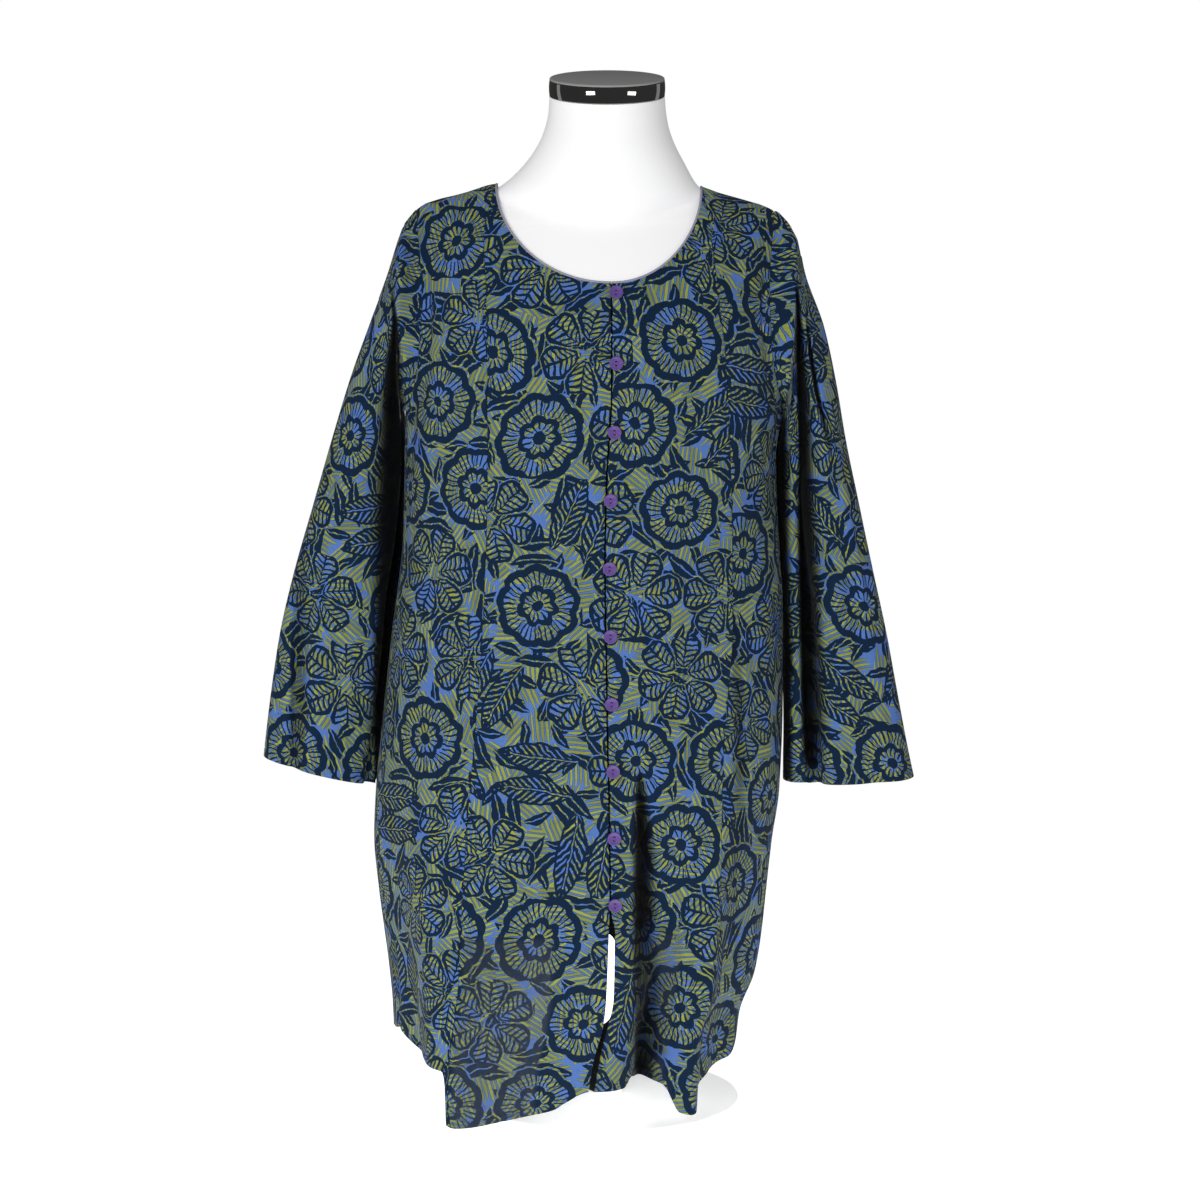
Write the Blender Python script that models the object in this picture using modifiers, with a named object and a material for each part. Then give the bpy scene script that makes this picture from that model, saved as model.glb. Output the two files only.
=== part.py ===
"""A collarless button-front tunic top with three-quarter sleeves, standing on a limbless dress form.

Every size below is in millimetres; METRE turns it into Blender's metres when a mesh is made.
X runs from the wearer's right (-) to the wearer's left (+), -Y is the front and +Z is up.
The origin is the centre of the base plate's underside.

The cloth is one smooth surface, body_point(angle, height), from which every body panel, the neck
binding and the buttons are made. Angle 0 is the centre front, minus angles run round the wearer's
right side, plus angles round the left side, and 180 is the centre back.
"""
import math
from bisect import bisect_right
from collections import namedtuple

import bpy
import numpy as np
from mathutils import Vector

METRE = 0.001

# ---------------------------------------------------------------- driving dimensions
WALL = 1.6                 # modelled thickness of the cloth
SEAM_GAP = 0.3             # between neighbouring panels
FORM_CLEARANCE = 1.8       # between the cloth's inside and the form's chest and back
SHOULDER_CLEARANCE = 4.0   # between the cloth's inside and the form's shoulders
CLOTH_CENTRE = -12.0       # the garment hangs a little towards the wearer's right
UNDERARM = 664.0           # height of the armhole's lowest point
SHOULDER_TIP = 848.0       # height of the armhole's highest point
NECK_SEAM = 872.5          # about where shoulder seam, neckline and princess seam meet
FRONT_NECK = 786.0         # lowest point of the front neckline
BACK_NECK = 838.0          # lowest point of the back neckline
RIDGE_Y = 4.0              # the shoulder seams run just behind the form's axis
SECTION_POWER = 2.3        # body sections are superellipses with this exponent
FRONT_ROUNDING = 150.0     # height over which the front rounds away from the shoulder ridge
BACK_ROUNDING = 120.0

# ---------------------------------------------------------------- mesh density
LOW_ROWS = 15              # rows from hem to underarm
HIGH_ROWS = 10             # rows from underarm to shoulder
CENTRE_COLUMNS = 11        # columns of a centre-front panel
SHOULDER_COLUMNS = 7       # columns of a side-front panel and of each back shoulder
NECK_COLUMNS = 14          # columns below the back neckline

# ---------------------------------------------------------------- body sections
# One row for each height: the widest points and the deepest points of the hanging cloth.
BODY_COLUMNS = ("height", "right", "left", "front", "back")
BODY_SECTIONS = (
    (0,    -200, 120, -128, 118),
    (90,   -203, 126, -128, 118),
    (132,  -207, 141, -127, 118),
    (170,  -212, 147, -126, 118),
    (210,  -217, 151, -125, 117),
    (258,  -221, 156, -124, 115),
    (306,  -219, 162.5, -123, 113),
    (384,  -211, 165, -121, 109),
    (457,  -203, 165, -119, 105),
    (493,  -198, 164, -118, 103),
    (547,  -192, 160, -117, 100),
    (621,  -190, 157, -117, 96),
    (664,  -189, 163, -117, 95),
    (720,  -188, 164, -114, 95),
    (780,  -188, 164, -102, 93),
    (850,  -188, 164, -86,  88),
    (900,  -188, 164, -74,  80),
)

# The shoulder ridge falls away with distance from the garment's centre.
RIDGE_COLUMNS = ("distance", "height")
SHOULDER_RIDGE = (
    (0,   875.0),
    (92,  872.5),
    (120, 865.5),
    (145, 858.5),
    (160, 854.0),
    (168, 848.0),
    (182, 834.0),
)

RIDGE_TILT = -0.008        # the garment sits a little higher on the wearer's right shoulder

# ---------------------------------------------------------------- seams and edges
# The centre-front edges part below the last button.
OPENING_COLUMNS = ("height", "right_panel", "left_panel")
OPENING = (
    (20,   -22.0, -15.0),
    (46,   -18.5, -13.0),
    (77,   -13.5, -8.0),
    (108,  -5.2,  -1.0),
    (133,  -2.2,  4.0),
    (193,  0.4,   5.4),
    (212,  1.0,   2.0),
    (221,  1.2,   1.6),
    (318,  0.2,   0.6),
    (374,  -1.2,  -0.8),
    (438,  -2.1,  -1.7),
    (528,  -3.5,  -3.1),
    (610,  -2.1,  -1.7),
    (656,  1.0,   1.4),
    (683,  2.4,   2.8),
    (800,  2.4,   2.8),
)

# Princess seams, from the hem to the side of the neck.
PRINCESS_COLUMNS = ("height", "right_panel", "left_panel")
PRINCESS = (
    (10,   -140.5, 80.5),
    (49,   -139.5, 82.0),
    (87,   -137.0, 85.0),
    (140,  -132.0, 94.0),
    (192,  -131.0, 101.0),
    (288,  -127.0, 104.0),
    (384,  -120.0, 108.0),
    (472,  -114.5, 114.5),
    (619,  -109.5, 112.0),
    (700,  -109.5, 108.0),
    (770,  -110.5, 101.0),
    (829,  -113.5, 94.0),
    (871,  -104.0, 87.0),
)

SIDE_ANGLE = {-1: -78.0, 1: 84.0}     # where the side seams run, by side
SLIT_TOP = 112.0                      # the side seams end in short slits at the hem
SLIT_SPREAD = 1.6                     # degrees by which each slit edge stands away at the hem

# Armhole edges by how far they have climbed from the underarm (0) to the shoulder tip (1).
ARMHOLE_COLUMNS = ("climb", "right_front", "right_back", "left_front", "left_back")
ARMHOLE = (
    (0.00, -78.0, -78.0,  84.0, 84.0),
    (0.16, -69.0, -93.0,  71.0, 97.0),
    (0.34, -65.0, -107.0, 66.0, 108.0),
    (0.60, -63.0, -115.0, 64.0, 115.0),
    (1.00, -69.0, -111.0, 69.0, 111.0),
)

# Hem heights by place: 0 is a panel's edge nearer the opening, 1 its other edge. The back panel is
# read from the left side seam round to the right one. The centre-front panels hang lowest, and the
# tails rise to the side slits.
HEM_COLUMNS = ("place", "height")
HEMS = {
    "centre_front_right": ((0, 46.7), (0.06, 43), (0.11, 37), (0.18, 28), (0.36, 22), (0.57, 16.4),
                           (0.81, 10.5), (0.94, 9), (1, 11)),
    "side_front_right": ((0, 11), (0.03, 54), (0.06, 62), (0.27, 64), (0.65, 66), (1, 79)),
    "centre_front_left": ((0, 46.7), (0.23, 47.5), (0.31, 55), (0.4, 50.5), (0.5, 48.4),
                          (0.62, 46.5), (0.66, 41), (0.7, 30), (0.74, 21.5), (0.83, 19.3),
                          (0.91, 21.2), (0.955, 27), (1, 42)),
    "side_front_left": ((0, 42), (0.16, 46), (0.4, 50), (0.6, 54), (0.72, 55), (0.95, 69), (1, 85)),
    "back": ((0, 85), (0.05, 77), (0.2, 66), (0.5, 52), (0.8, 58), (0.94, 72), (1, 79)),
}

# Folds of the hanging cloth. Each runs from its top height down to the hem, drifting from one angle
# to another, and pushes the surface out (+) or in (-) within a width in degrees on each side.
Fold = namedtuple("Fold", "top top_angle hem_angle depth width_right width_left")
FOLDS = tuple(Fold(*row) for row in (
    (520, -40, -40,  22, 9, 22),      # the lifted front edge of the right centre front
    (420, -66, -62, -14, 10, 8),      # the hollow behind it
    (360, 22,  25,  -30, 4.5, 5.5),   # deep fold beside the opening
    (330, 12,  10,   10, 9, 6),       # the ridge that carries the opening
    (360, 42,  40,   20, 6, 4.5),     # the pointed fold at the left princess seam
    (430, 62,  62,  -12, 9, 9),       # the hollow beyond it
    (560, -102, -100, 8, 9, 9),
    (520, -128, -124, -15, 8, 8),
    (600, -150, -148, 13, 9, 9),
    (480, -172, -168, -14, 9, 9),
    (560, 166, 168,  14, 9, 9),
    (500, 143, 147, -15, 8, 8),
    (600, 122, 124,  14, 9, 9),
    (480, 102, 100, -12, 8, 8),
))

FOLD_TOP_WIDTH = 1.35      # a fold is this much wider where it begins than at the hem

# ---------------------------------------------------------------- sleeves
# One row for each ring: the outer and the inner point of the tube, how far behind the form's axis
# each lies, and how deep the tube is in front of and behind its middle.
Ring = namedtuple("Ring", "outer_x outer_y outer_z inner_x inner_y inner_z front back")
SLEEVES = {
    "right": (
        (-192, -4, 827, -192.5, -8, 656, 50, 54),
        (-204, -4, 790, -191.5, 16, 644, 56, 57),
        (-221, -2, 745, -188, 26, 626, 58, 57),
        (-239, -2, 696, -185, 30, 602, 57, 55),
        (-258, -4, 635, -184, 28, 568, 55, 53),
        (-276, -4, 574, -186, 22, 528, 52, 50),
        (-294, -4, 513, -192, 14, 484, 49, 47),
        (-308, -4, 455, -199, 6, 438, 46, 45),
        (-317, -4, 400, -206, 0, 388, 44, 43),
        (-323, -4, 355, -213, -4, 340, 43, 42),
        (-325, -4, 338, -217, -4, 309, 42, 42),
    ),
    "left": (
        (174, 2, 828, 167.5, -2, 656, 50, 54),
        (183, 0, 790, 165, 18, 644, 56, 57),
        (200.5, 0, 742, 161, 28, 628, 58, 57),
        (211.5, 0, 694, 155, 32, 602, 57, 55),
        (222, -2, 635, 153, 30, 568, 55, 53),
        (234, -4, 579, 155, 24, 528, 52, 50),
        (248, -4, 515, 159, 16, 484, 49, 47),
        (261.5, -4, 455, 161, 8, 438, 46, 45),
        (272.5, -4, 398, 162, 2, 388, 44, 43),
        (283, -4, 345, 163, -4, 341, 43, 42),
        (289, -4, 318, 165, -4, 315, 42, 42),
    ),
}
SLEEVE_POWER = 2.2         # sleeve rings are superellipses with this exponent
TURN_OUT = 2.8             # the sleeve stands out this far from the body at the underarm
SLEEVE_CLEAR = 2.1         # least distance between the body's and a sleeve's outer faces
# Sleeve folds: place round the ring in degrees from the outer edge through the front, at the armhole
# and at the cuff, where along the sleeve each begins (0 armhole, 1 cuff), depth and width in degrees.
SleeveFold = namedtuple("SleeveFold", "armhole_place cuff_place begin depth width")
SLEEVE_FOLDS = {
    "right": ((146, 150, 0.05, -10, 13), (48, 56, 0.45, -7, 14), (240, 240, 0.3, -8, 16)),
    "left": ((98, 128, 0.0, -14, 13), (54, 66, 0.35, -6, 15), (236, 236, 0.3, -8, 16)),
}

# ---------------------------------------------------------------- neck binding and buttons
BINDING_WIDTH = 2.2
BINDING_THICKNESS = 2.2
BUTTON_RADIUS = 6.3
BUTTON_THICKNESS = 2.6
BUTTON_RIM = 1.1           # width of the raised rim
BUTTON_DISH = 0.7          # depth of the dished middle
BUTTON_SHANK_RADIUS = 1.6
BUTTON_SHANK = 0.9         # the button stands this far off the cloth
BUTTON_COUNT = 10
BUTTON_SIDES = 14
BUTTON_TOP = 777.0
BUTTON_PITCH = 61.9
BUTTON_OFFSET = 4.3        # the buttons sit beside the opening, on the left front

# ---------------------------------------------------------------- dress form
# Torso sections: half width, front and back depth at each height.
TORSO_COLUMNS = ("height", "half_width", "front", "back")
TORSO = (
    (183, 128, -90, 84),
    (230, 134, -95, 90),
    (300, 138, -98, 94),
    (380, 138, -96, 90),
    (460, 126, -90, 80),
    (530, 124, -92, 80),
    (610, 138, -107, 86),
    (680, 150, -114, 90),
    (730, 158, -116, 92),
    (800, 162, -116, 92),
    (880, 162, -116, 92),
)
# Heights of the form's rings, closer where the shoulders turn into the neck.
FORM_HEIGHTS = (183, 188, 215, 260, 320, 380, 440, 500, 560, 620, 670, 712, 745, 772, 795, 815,
                831, 843, 852, 859, 864.5, 868, 873, 878, 884, 893, 905, 920, 936, 952.7)
# Neck sections: reach to the right, to the left, to the front and to the back.
REACH_COLUMNS = ("height", "right", "left", "front", "back")
NECK = (
    (800, 40, 38, -38, 30),
    (830, 58, 52, -54, 40),
    (850, 74, 62, -59, 49),
    (862, 90, 77, -61, 54),
    (868, 93.5, 79, -61, 55),
    (873, 93, 79.5, -61, 56),
    (880, 88.5, 79, -61, 57),
    (890, 78.5, 74.5, -62, 57),
    (907, 64.5, 63.3, -62, 54),
    (923, 57.3, 57.2, -60.5, 50),
    (940, 53.8, 54.2, -60, 47),
    (953, 53.2, 53.2, -59.6, 46.6),
)
FORM_CENTRE = -1.0
FORM_SIDES = 36
CAP_TILT = math.radians(8.0)   # the neck cap leans forwards
CAP_RADIUS = 53.5
BAND_BOTTOM = 953.0            # lowest height of the neck band on the form's axis
BAND_HEIGHT = 14.7
CAP_THICKNESS = 2.0
CAP_CENTRE_Y = -6.5
POLE_RADIUS = 14.0
BASE_RADIUS = 125.0
BASE_THICKNESS = 7.0
BASE_EDGE = 2.0

# ---------------------------------------------------------------- colours
NAVY = (0.020, 0.040, 0.085, 1.0)
BOUND_GREY = (0.30, 0.30, 0.36, 1.0)
PURPLE = (0.16, 0.085, 0.29, 1.0)
WHITE = (0.83, 0.83, 0.85, 1.0)
CHROME = (0.25, 0.23, 0.24, 1.0)
GREY = (0.33, 0.33, 0.34, 1.0)


# ---------------------------------------------------------------- curves through the tables
def column_curve(rows, columns, key, name):
    """A smooth curve through one column of a table, which never overshoots its rows."""
    order = sorted((row[columns.index(key)], row[columns.index(name)]) for row in rows)
    xs = [x for x, _ in order]
    ys = [y for _, y in order]
    steps = [(ys[i + 1] - ys[i]) / (xs[i + 1] - xs[i]) for i in range(len(xs) - 1)]
    slopes = [steps[0]]
    for before, after in zip(steps, steps[1:]):
        slopes.append(0.0 if before * after <= 0 else 2 * before * after / (before + after))
    slopes.append(steps[-1])

    def value(x):
        x = min(max(x, xs[0]), xs[-1])
        i = min(max(bisect_right(xs, x) - 1, 0), len(steps) - 1)
        width = xs[i + 1] - xs[i]
        t = (x - xs[i]) / width
        return (ys[i] * (1 + 2 * t) * (1 - t) ** 2 + slopes[i] * width * t * (1 - t) ** 2
                + ys[i + 1] * t * t * (3 - 2 * t) - slopes[i + 1] * width * t * t * (1 - t))

    return value


BODY_RIGHT, BODY_LEFT, BODY_FRONT, BODY_BACK = (
    column_curve(BODY_SECTIONS, BODY_COLUMNS, "height", name) for name in BODY_COLUMNS[1:])
RIDGE = column_curve(SHOULDER_RIDGE, RIDGE_COLUMNS, "distance", "height")
OPENING_X = {-1: column_curve(OPENING, OPENING_COLUMNS, "height", "right_panel"),
             1: column_curve(OPENING, OPENING_COLUMNS, "height", "left_panel")}
PRINCESS_X = {-1: column_curve(PRINCESS, PRINCESS_COLUMNS, "height", "right_panel"),
              1: column_curve(PRINCESS, PRINCESS_COLUMNS, "height", "left_panel")}
ARMHOLE_ANGLE = {(side, face): column_curve(ARMHOLE, ARMHOLE_COLUMNS, "climb", f"{word}_{face}")
                 for side, word in ((-1, "right"), (1, "left")) for face in ("front", "back")}
SIDE_WORD = {-1: "right", 1: "left"}
HEM_HEIGHT = {name: column_curve(rows, HEM_COLUMNS, "place", "height")
              for name, rows in HEMS.items()}
TORSO_WIDTH, TORSO_FRONT, TORSO_BACK = (
    column_curve(TORSO, TORSO_COLUMNS, "height", name) for name in TORSO_COLUMNS[1:])
NECK_RIGHT, NECK_LEFT, NECK_FRONT, NECK_BACK = (
    column_curve(NECK, REACH_COLUMNS, "height", name) for name in REACH_COLUMNS[1:])


def smoothstep(t):
    t = min(max(t, 0.0), 1.0)
    return t * t * (3 - 2 * t)


def mix(a, b, t):
    return a + (b - a) * t


def angle_between(angle, other):
    """From the other angle to this one, the short way round."""
    return (angle - other + 180) % 360 - 180


def soft_least(a, b, softness):
    return -softness * math.log(math.exp(-a / softness) + math.exp(-b / softness))


# ---------------------------------------------------------------- the cloth's surface
def half_width(height):
    return (BODY_LEFT(height) - BODY_RIGHT(height)) / 2


def centre_x(height):
    return (BODY_LEFT(height) + BODY_RIGHT(height)) / 2


def ridge_height(x):
    return RIDGE(abs(x - CLOTH_CENTRE)) + RIDGE_TILT * (x - CLOTH_CENTRE)


def side_neck(side):
    """The x and height where shoulder seam, neckline and princess seam meet."""
    x = PRINCESS_X[side](NECK_SEAM)
    return x, ridge_height(x)


def rounding(x, height, reach):
    """How far the cloth has come away from the shoulder ridge: 0 on the ridge, 1 well below it."""
    drop = min(max((ridge_height(x) - height) / reach, 0.0), 1.0)
    return math.sqrt(1 - (1 - drop) ** 2)


def fold_push(angle, height):
    """Outward push of all the folds at one place."""
    push = 0.0
    for fold in FOLDS:
        fall = (fold.top - height) / fold.top
        if fall <= 0:
            continue
        off = angle_between(angle, mix(fold.top_angle, fold.hem_angle, fall))
        width = (fold.width_left if off > 0 else fold.width_right) * mix(FOLD_TOP_WIDTH, 1, fall)
        push += fold.depth * smoothstep(fall) * math.exp(-(off / width) ** 2)
    return push


def body_point(angle, height, lift=0.0):
    """A point of the body cloth's outer face, lifted outwards in plan if asked."""
    turn = math.radians(angle)
    power = 2 / SECTION_POWER
    across = math.copysign(abs(math.sin(turn)) ** power, math.sin(turn))
    along = abs(math.cos(turn)) ** power
    x = centre_x(height) + half_width(height) * across
    if math.cos(turn) >= 0:
        depth = (RIDGE_Y - BODY_FRONT(height)) * along * rounding(x, height, FRONT_ROUNDING)
        y = RIDGE_Y - SEAM_GAP / 2 - depth
    else:
        depth = (BODY_BACK(height) - RIDGE_Y) * along * rounding(x, height, BACK_ROUNDING)
        y = RIDGE_Y + SEAM_GAP / 2 + depth
    push = fold_push(angle, height) + lift
    return (x + push * math.sin(turn) * 0.75, y - push * math.cos(turn), height)


def angle_at(x, height, back=False):
    """The angle whose point has this x at this height, on the front or on the back."""
    share = min(max((x - centre_x(height)) / half_width(height), -1.0), 1.0)
    turn = math.degrees(math.asin(math.copysign(abs(share) ** (SECTION_POWER / 2), share)))
    if not back:
        return turn
    return math.copysign(180.0, turn) - turn


def body_normal(angle, height):
    """The outward direction of the cloth at a place on the body."""
    da, dz = 0.4, 1.5
    top = ridge_height(body_point(angle, height)[0])
    high = min(height + dz, max(top - 0.4, height - dz))
    low = min(height, high) - dz
    a = np.array(body_point(angle - da, min(height, high)))
    b = np.array(body_point(angle + da, min(height, high)))
    c = np.array(body_point(angle, low))
    d = np.array(body_point(angle, high))
    normal = np.cross(b - a, d - c)
    if top - height < 2.0:
        normal = np.array((0.0, 0.0, 1.0)) + 0.02 * normal / np.linalg.norm(normal)
    return normal / np.linalg.norm(normal)


# ---------------------------------------------------------------- making meshes
def material(name, colour, roughness, metallic=0.0):
    made = bpy.data.materials.new(name)
    made.use_nodes = True
    shader = made.node_tree.nodes["Principled BSDF"]
    shader.inputs["Base Color"].default_value = colour
    shader.inputs["Roughness"].default_value = roughness
    shader.inputs["Metallic"].default_value = metallic
    made.diffuse_color = colour
    return made


def mesh_object(name, points, faces, finish, collection):
    mesh = bpy.data.meshes.new(name)
    mesh.from_pydata([tuple(c * METRE for c in point) for point in points], [], faces)
    mesh.materials.append(finish)
    mesh.shade_smooth()
    mesh.set_sharp_from_angle(angle=math.radians(40))
    made = bpy.data.objects.new(name, mesh)
    collection.objects.link(made)
    return made


def cloth_wall(name, outer, normals, finish, collection, closed=False):
    """A wall of cloth from a grid of outer points [row][column] and their outward directions.

    Rows run upwards and columns run anticlockwise seen from above, so the outer face looks out.
    A closed grid is a tube, whose last column meets its first.
    """
    rows, columns = len(outer), len(outer[0])
    outer = np.array(outer)
    inner = outer - WALL * np.array(normals)
    points = [*map(tuple, outer.reshape(-1, 3)), *map(tuple, inner.reshape(-1, 3))]
    layer = rows * columns

    def at(row, column, inside=False):
        return row * columns + column % columns + (layer if inside else 0)

    faces = []
    for i in range(rows - 1):
        for j in range(columns if closed else columns - 1):
            faces.append((at(i, j), at(i, j + 1), at(i + 1, j + 1), at(i + 1, j)))
            faces.append((at(i, j, True), at(i + 1, j, True), at(i + 1, j + 1, True),
                          at(i, j + 1, True)))
    for j in range(columns if closed else columns - 1):
        faces.append((at(0, j + 1), at(0, j), at(0, j, True), at(0, j + 1, True)))
        last = rows - 1
        faces.append((at(last, j), at(last, j + 1), at(last, j + 1, True), at(last, j, True)))
    if not closed:
        for i in range(rows - 1):
            last = columns - 1
            faces.append((at(i, 0), at(i + 1, 0), at(i + 1, 0, True), at(i, 0, True)))
            faces.append((at(i + 1, last), at(i, last), at(i, last, True), at(i + 1, last, True)))
    return mesh_object(name, points, faces, finish, collection)


def turned(name, profile, sides, finish, collection):
    """A turned piece from its profile, written from the top of its axis down the outer side."""
    mesh = bpy.data.meshes.new(name)
    mesh.from_pydata([(x * METRE, 0.0, z * METRE) for x, z in profile], [],
                     [(i, i + 1) for i in range(len(profile) - 1)])
    mesh.materials.append(finish)
    made = bpy.data.objects.new(name, mesh)
    collection.objects.link(made)
    screw = made.modifiers.new("turn", "SCREW")
    screw.axis = "Z"
    screw.steps = screw.render_steps = sides
    screw.use_merge_vertices = True
    screw.merge_threshold = 0.00001
    screw.use_smooth_shade = True
    screw.use_normal_flip = True
    return made


# ---------------------------------------------------------------- body panels
def climb(row):
    """Share of the way from underarm to shoulder, with rows closing up towards the shoulder."""
    return math.sin(math.radians(90) * (row - LOW_ROWS) / HIGH_ROWS)


def low_height(panel, place, row):
    """Height of a row below the underarm: rows spread evenly from the wavy hem."""
    return mix(HEM_HEIGHT[panel](place), UNDERARM, row / LOW_ROWS)


def side_angle(side, height, towards_back):
    """Angle of the side seam, or of the slit's edges near the hem."""
    spread = SLIT_SPREAD * smoothstep((SLIT_TOP - height) / SLIT_TOP * 3)
    return SIDE_ANGLE[side] + side * (spread if towards_back else -spread)


def seam_shift(height):
    """Half a seam gap as an angle on the body."""
    return math.degrees(SEAM_GAP / 2 / (half_width(height) * 0.9))


def neckline(side, place):
    """Front neckline from the centre front (0) to the side of the neck (1): x and height."""
    start = OPENING_X[side](FRONT_NECK) + side * SEAM_GAP / 2
    end, top = side_neck(side)
    turn = math.radians(90) * place ** 1.05
    return (mix(start, end, math.sin(turn) ** 0.97),
            mix(FRONT_NECK, top, 1 - math.cos(turn) ** 1.1))


def front_x(side, place, height):
    """The x of a place between the opening (0) and the princess seam (1)."""
    inner = OPENING_X[side](height) + side * SEAM_GAP / 2
    outer = PRINCESS_X[side](height) - side * SEAM_GAP / 2
    return mix(inner, outer, place)


def centre_front(side, panel):
    """Places (angle, height) of a centre-front panel, from its lower edge to the neckline."""
    grid = []
    for row in range(LOW_ROWS + HIGH_ROWS + 1):
        line = []
        for column in range(CENTRE_COLUMNS + 1):
            place = column / CENTRE_COLUMNS
            if row <= LOW_ROWS:
                height = low_height(panel, place, row)
                inner = angle_at(OPENING_X[side](height), height) + side * seam_shift(height)
                outer = angle_at(PRINCESS_X[side](height), height) - side * seam_shift(height)
                line.append((mix(inner, outer, place), height))
                continue
            x_top, z_top = neckline(side, place)
            height = mix(UNDERARM, z_top, climb(row))
            bend = x_top - side * SEAM_GAP / 2 * place - front_x(side, place, z_top)
            x = front_x(side, place, height) + bend * climb(row) ** 2
            line.append((angle_at(x, height), height))
        grid.append(line)
    return grid


def side_front(side, panel):
    """Places of a side-front panel, from the princess seam to the side seam and armhole."""
    grid = []
    for row in range(LOW_ROWS + HIGH_ROWS + 1):
        line = []
        for column in range(SHOULDER_COLUMNS + 1):
            place = column / SHOULDER_COLUMNS
            if row <= LOW_ROWS:
                crowded = 1 + 0.7 * smoothstep(1 - 2 * row / LOW_ROWS)
                spot = place ** crowded
                height = low_height(panel, spot, row)
                inner = angle_at(PRINCESS_X[side](height), height) + side * seam_shift(height)
                outer = side_angle(side, height, False) - side * seam_shift(height)
                line.append((mix(inner, outer, spot), height))
                continue
            rise = climb(row)
            z_in = mix(UNDERARM, side_neck(side)[1], rise)
            z_out = mix(UNDERARM, SHOULDER_TIP, rise)
            inner = angle_at(PRINCESS_X[side](z_in), z_in) + side * seam_shift(z_in)
            outer = ARMHOLE_ANGLE[side, "front"](rise) - side * seam_shift(z_out)
            angle = mix(inner, outer, place)
            height = mix(z_in, z_out, place)
            x = body_point(angle, height)[0]
            height = mix(height, mix(UNDERARM, ridge_height(x), rise), rise ** 2)
            line.append((angle, height))
        grid.append(line)
    return grid


def back(panel):
    """Places of the back panel, from the left side seam round to the right one."""
    columns = 2 * SHOULDER_COLUMNS + NECK_COLUMNS
    grid = []
    for row in range(LOW_ROWS + HIGH_ROWS + 1):
        line = []
        for column in range(columns + 1):
            place = column / columns
            if row <= LOW_ROWS:
                height = low_height(panel, place, row)
                left = side_angle(1, height, True) + seam_shift(height)
                right = side_angle(-1, height, True) - seam_shift(height)
                line.append((mix(left, right + 360, place), height))
                continue
            line.append(back_place(row, column))
        grid.append(line)
    return grid


def back_place(row, column):
    """A place of the back panel above the underarm."""
    rise = climb(row)
    last = 2 * SHOULDER_COLUMNS + NECK_COLUMNS
    z_tip = mix(UNDERARM, SHOULDER_TIP, rise)
    left = ARMHOLE_ANGLE[1, "back"](rise) + seam_shift(z_tip)
    right = ARMHOLE_ANGLE[-1, "back"](rise) - seam_shift(z_tip) + 360
    even = mix(left, right, column / last)
    if column < SHOULDER_COLUMNS or column > last - SHOULDER_COLUMNS:
        side = 1 if column < SHOULDER_COLUMNS else -1
        steps = column if side == 1 else last - column
        share = 1 - steps / SHOULDER_COLUMNS
        top_angle, top = shoulder_place(side, share)
    else:
        share = (column - SHOULDER_COLUMNS) / NECK_COLUMNS
        turn = math.pi * share
        x_left, z_left = side_neck(1)
        x_right, z_right = side_neck(-1)
        x = mix(x_left, x_right, 0.5 - 0.5 * math.cos(turn))
        top = mix(mix(z_left, z_right, share), BACK_NECK, math.sin(turn) ** 0.8)
        top_angle = angle_at(x, top, back=True) % 360
    height = mix(UNDERARM, top, rise)
    return (mix(even, top_angle, rise ** 2), height)


def shoulder_place(side, share):
    """A place on the back edge of a shoulder seam, from the side of the neck (0) to the tip (1)."""
    inner = angle_at(*side_neck(side)) + side * seam_shift(NECK_SEAM)
    outer = ARMHOLE_ANGLE[side, "front"](1.0) - side * seam_shift(SHOULDER_TIP)
    angle = mix(inner, outer, share)
    x = body_point(angle, mix(side_neck(side)[1], SHOULDER_TIP, share))[0]
    height = ridge_height(x)
    return (angle_at(x, height, back=True) % 360, height)


def panel_wall(name, grid, finish, collection, reverse):
    """A body panel from its grid of places."""
    if reverse:
        grid = [line[::-1] for line in grid]
    outer = [[body_point(*place) for place in line] for line in grid]
    normals = [[body_normal(*place) for place in line] for line in grid]
    return cloth_wall(name, outer, normals, finish, collection)


# ---------------------------------------------------------------- sleeves
def armhole_ring(side, front_grid, back_grid):
    """Armhole places from the shoulder tip down the front edge and up the back edge."""
    front_edge = [line[-1] for line in front_grid[LOW_ROWS:]]
    back_edge = [line[0] if side == 1 else line[-1] for line in back_grid[LOW_ROWS:]]
    return front_edge[::-1] + back_edge[1:-1]


def grid_normals(points):
    """Outward directions of a closed tube's grid by differences between neighbours."""
    points = np.array(points)
    around = np.roll(points, -1, axis=1) - np.roll(points, 1, axis=1)
    along = np.gradient(points, axis=0)
    normals = np.cross(around, along)
    return normals / np.linalg.norm(normals, axis=2, keepdims=True)


def sleeve_push(word, degrees, along):
    """Outward push of the folds at one place on a sleeve."""
    push = 0.0
    for fold in map(SleeveFold._make, SLEEVE_FOLDS[word]):
        off = angle_between(degrees, mix(fold.armhole_place, fold.cuff_place, along))
        rise = smoothstep((along - fold.begin) / (1 - fold.begin) * 1.8)
        push += fold.depth * rise * math.exp(-(off / fold.width) ** 2)
    return push


def clear_of_body(side, x, y, z):
    """The same x, or one just outside the body where the body is in the way."""
    reach = RIDGE_Y - BODY_FRONT(z) if y < RIDGE_Y else BODY_BACK(z) - RIDGE_Y
    share = abs(y - RIDGE_Y) / reach
    if share >= 1:
        return x
    angle = side * math.degrees(math.acos(math.copysign(share ** (SECTION_POWER / 2), 1.0)))
    if y > RIDGE_Y:
        angle = side * 180 - angle
    across = (1 - share ** SECTION_POWER) ** (1 / SECTION_POWER)
    limit = (half_width(z) * across + side * centre_x(z) + SLEEVE_CLEAR
             + max(0.75 * fold_push(angle, z), 0.0))
    return side * -soft_least(-side * x, -limit, 1.0)


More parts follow.
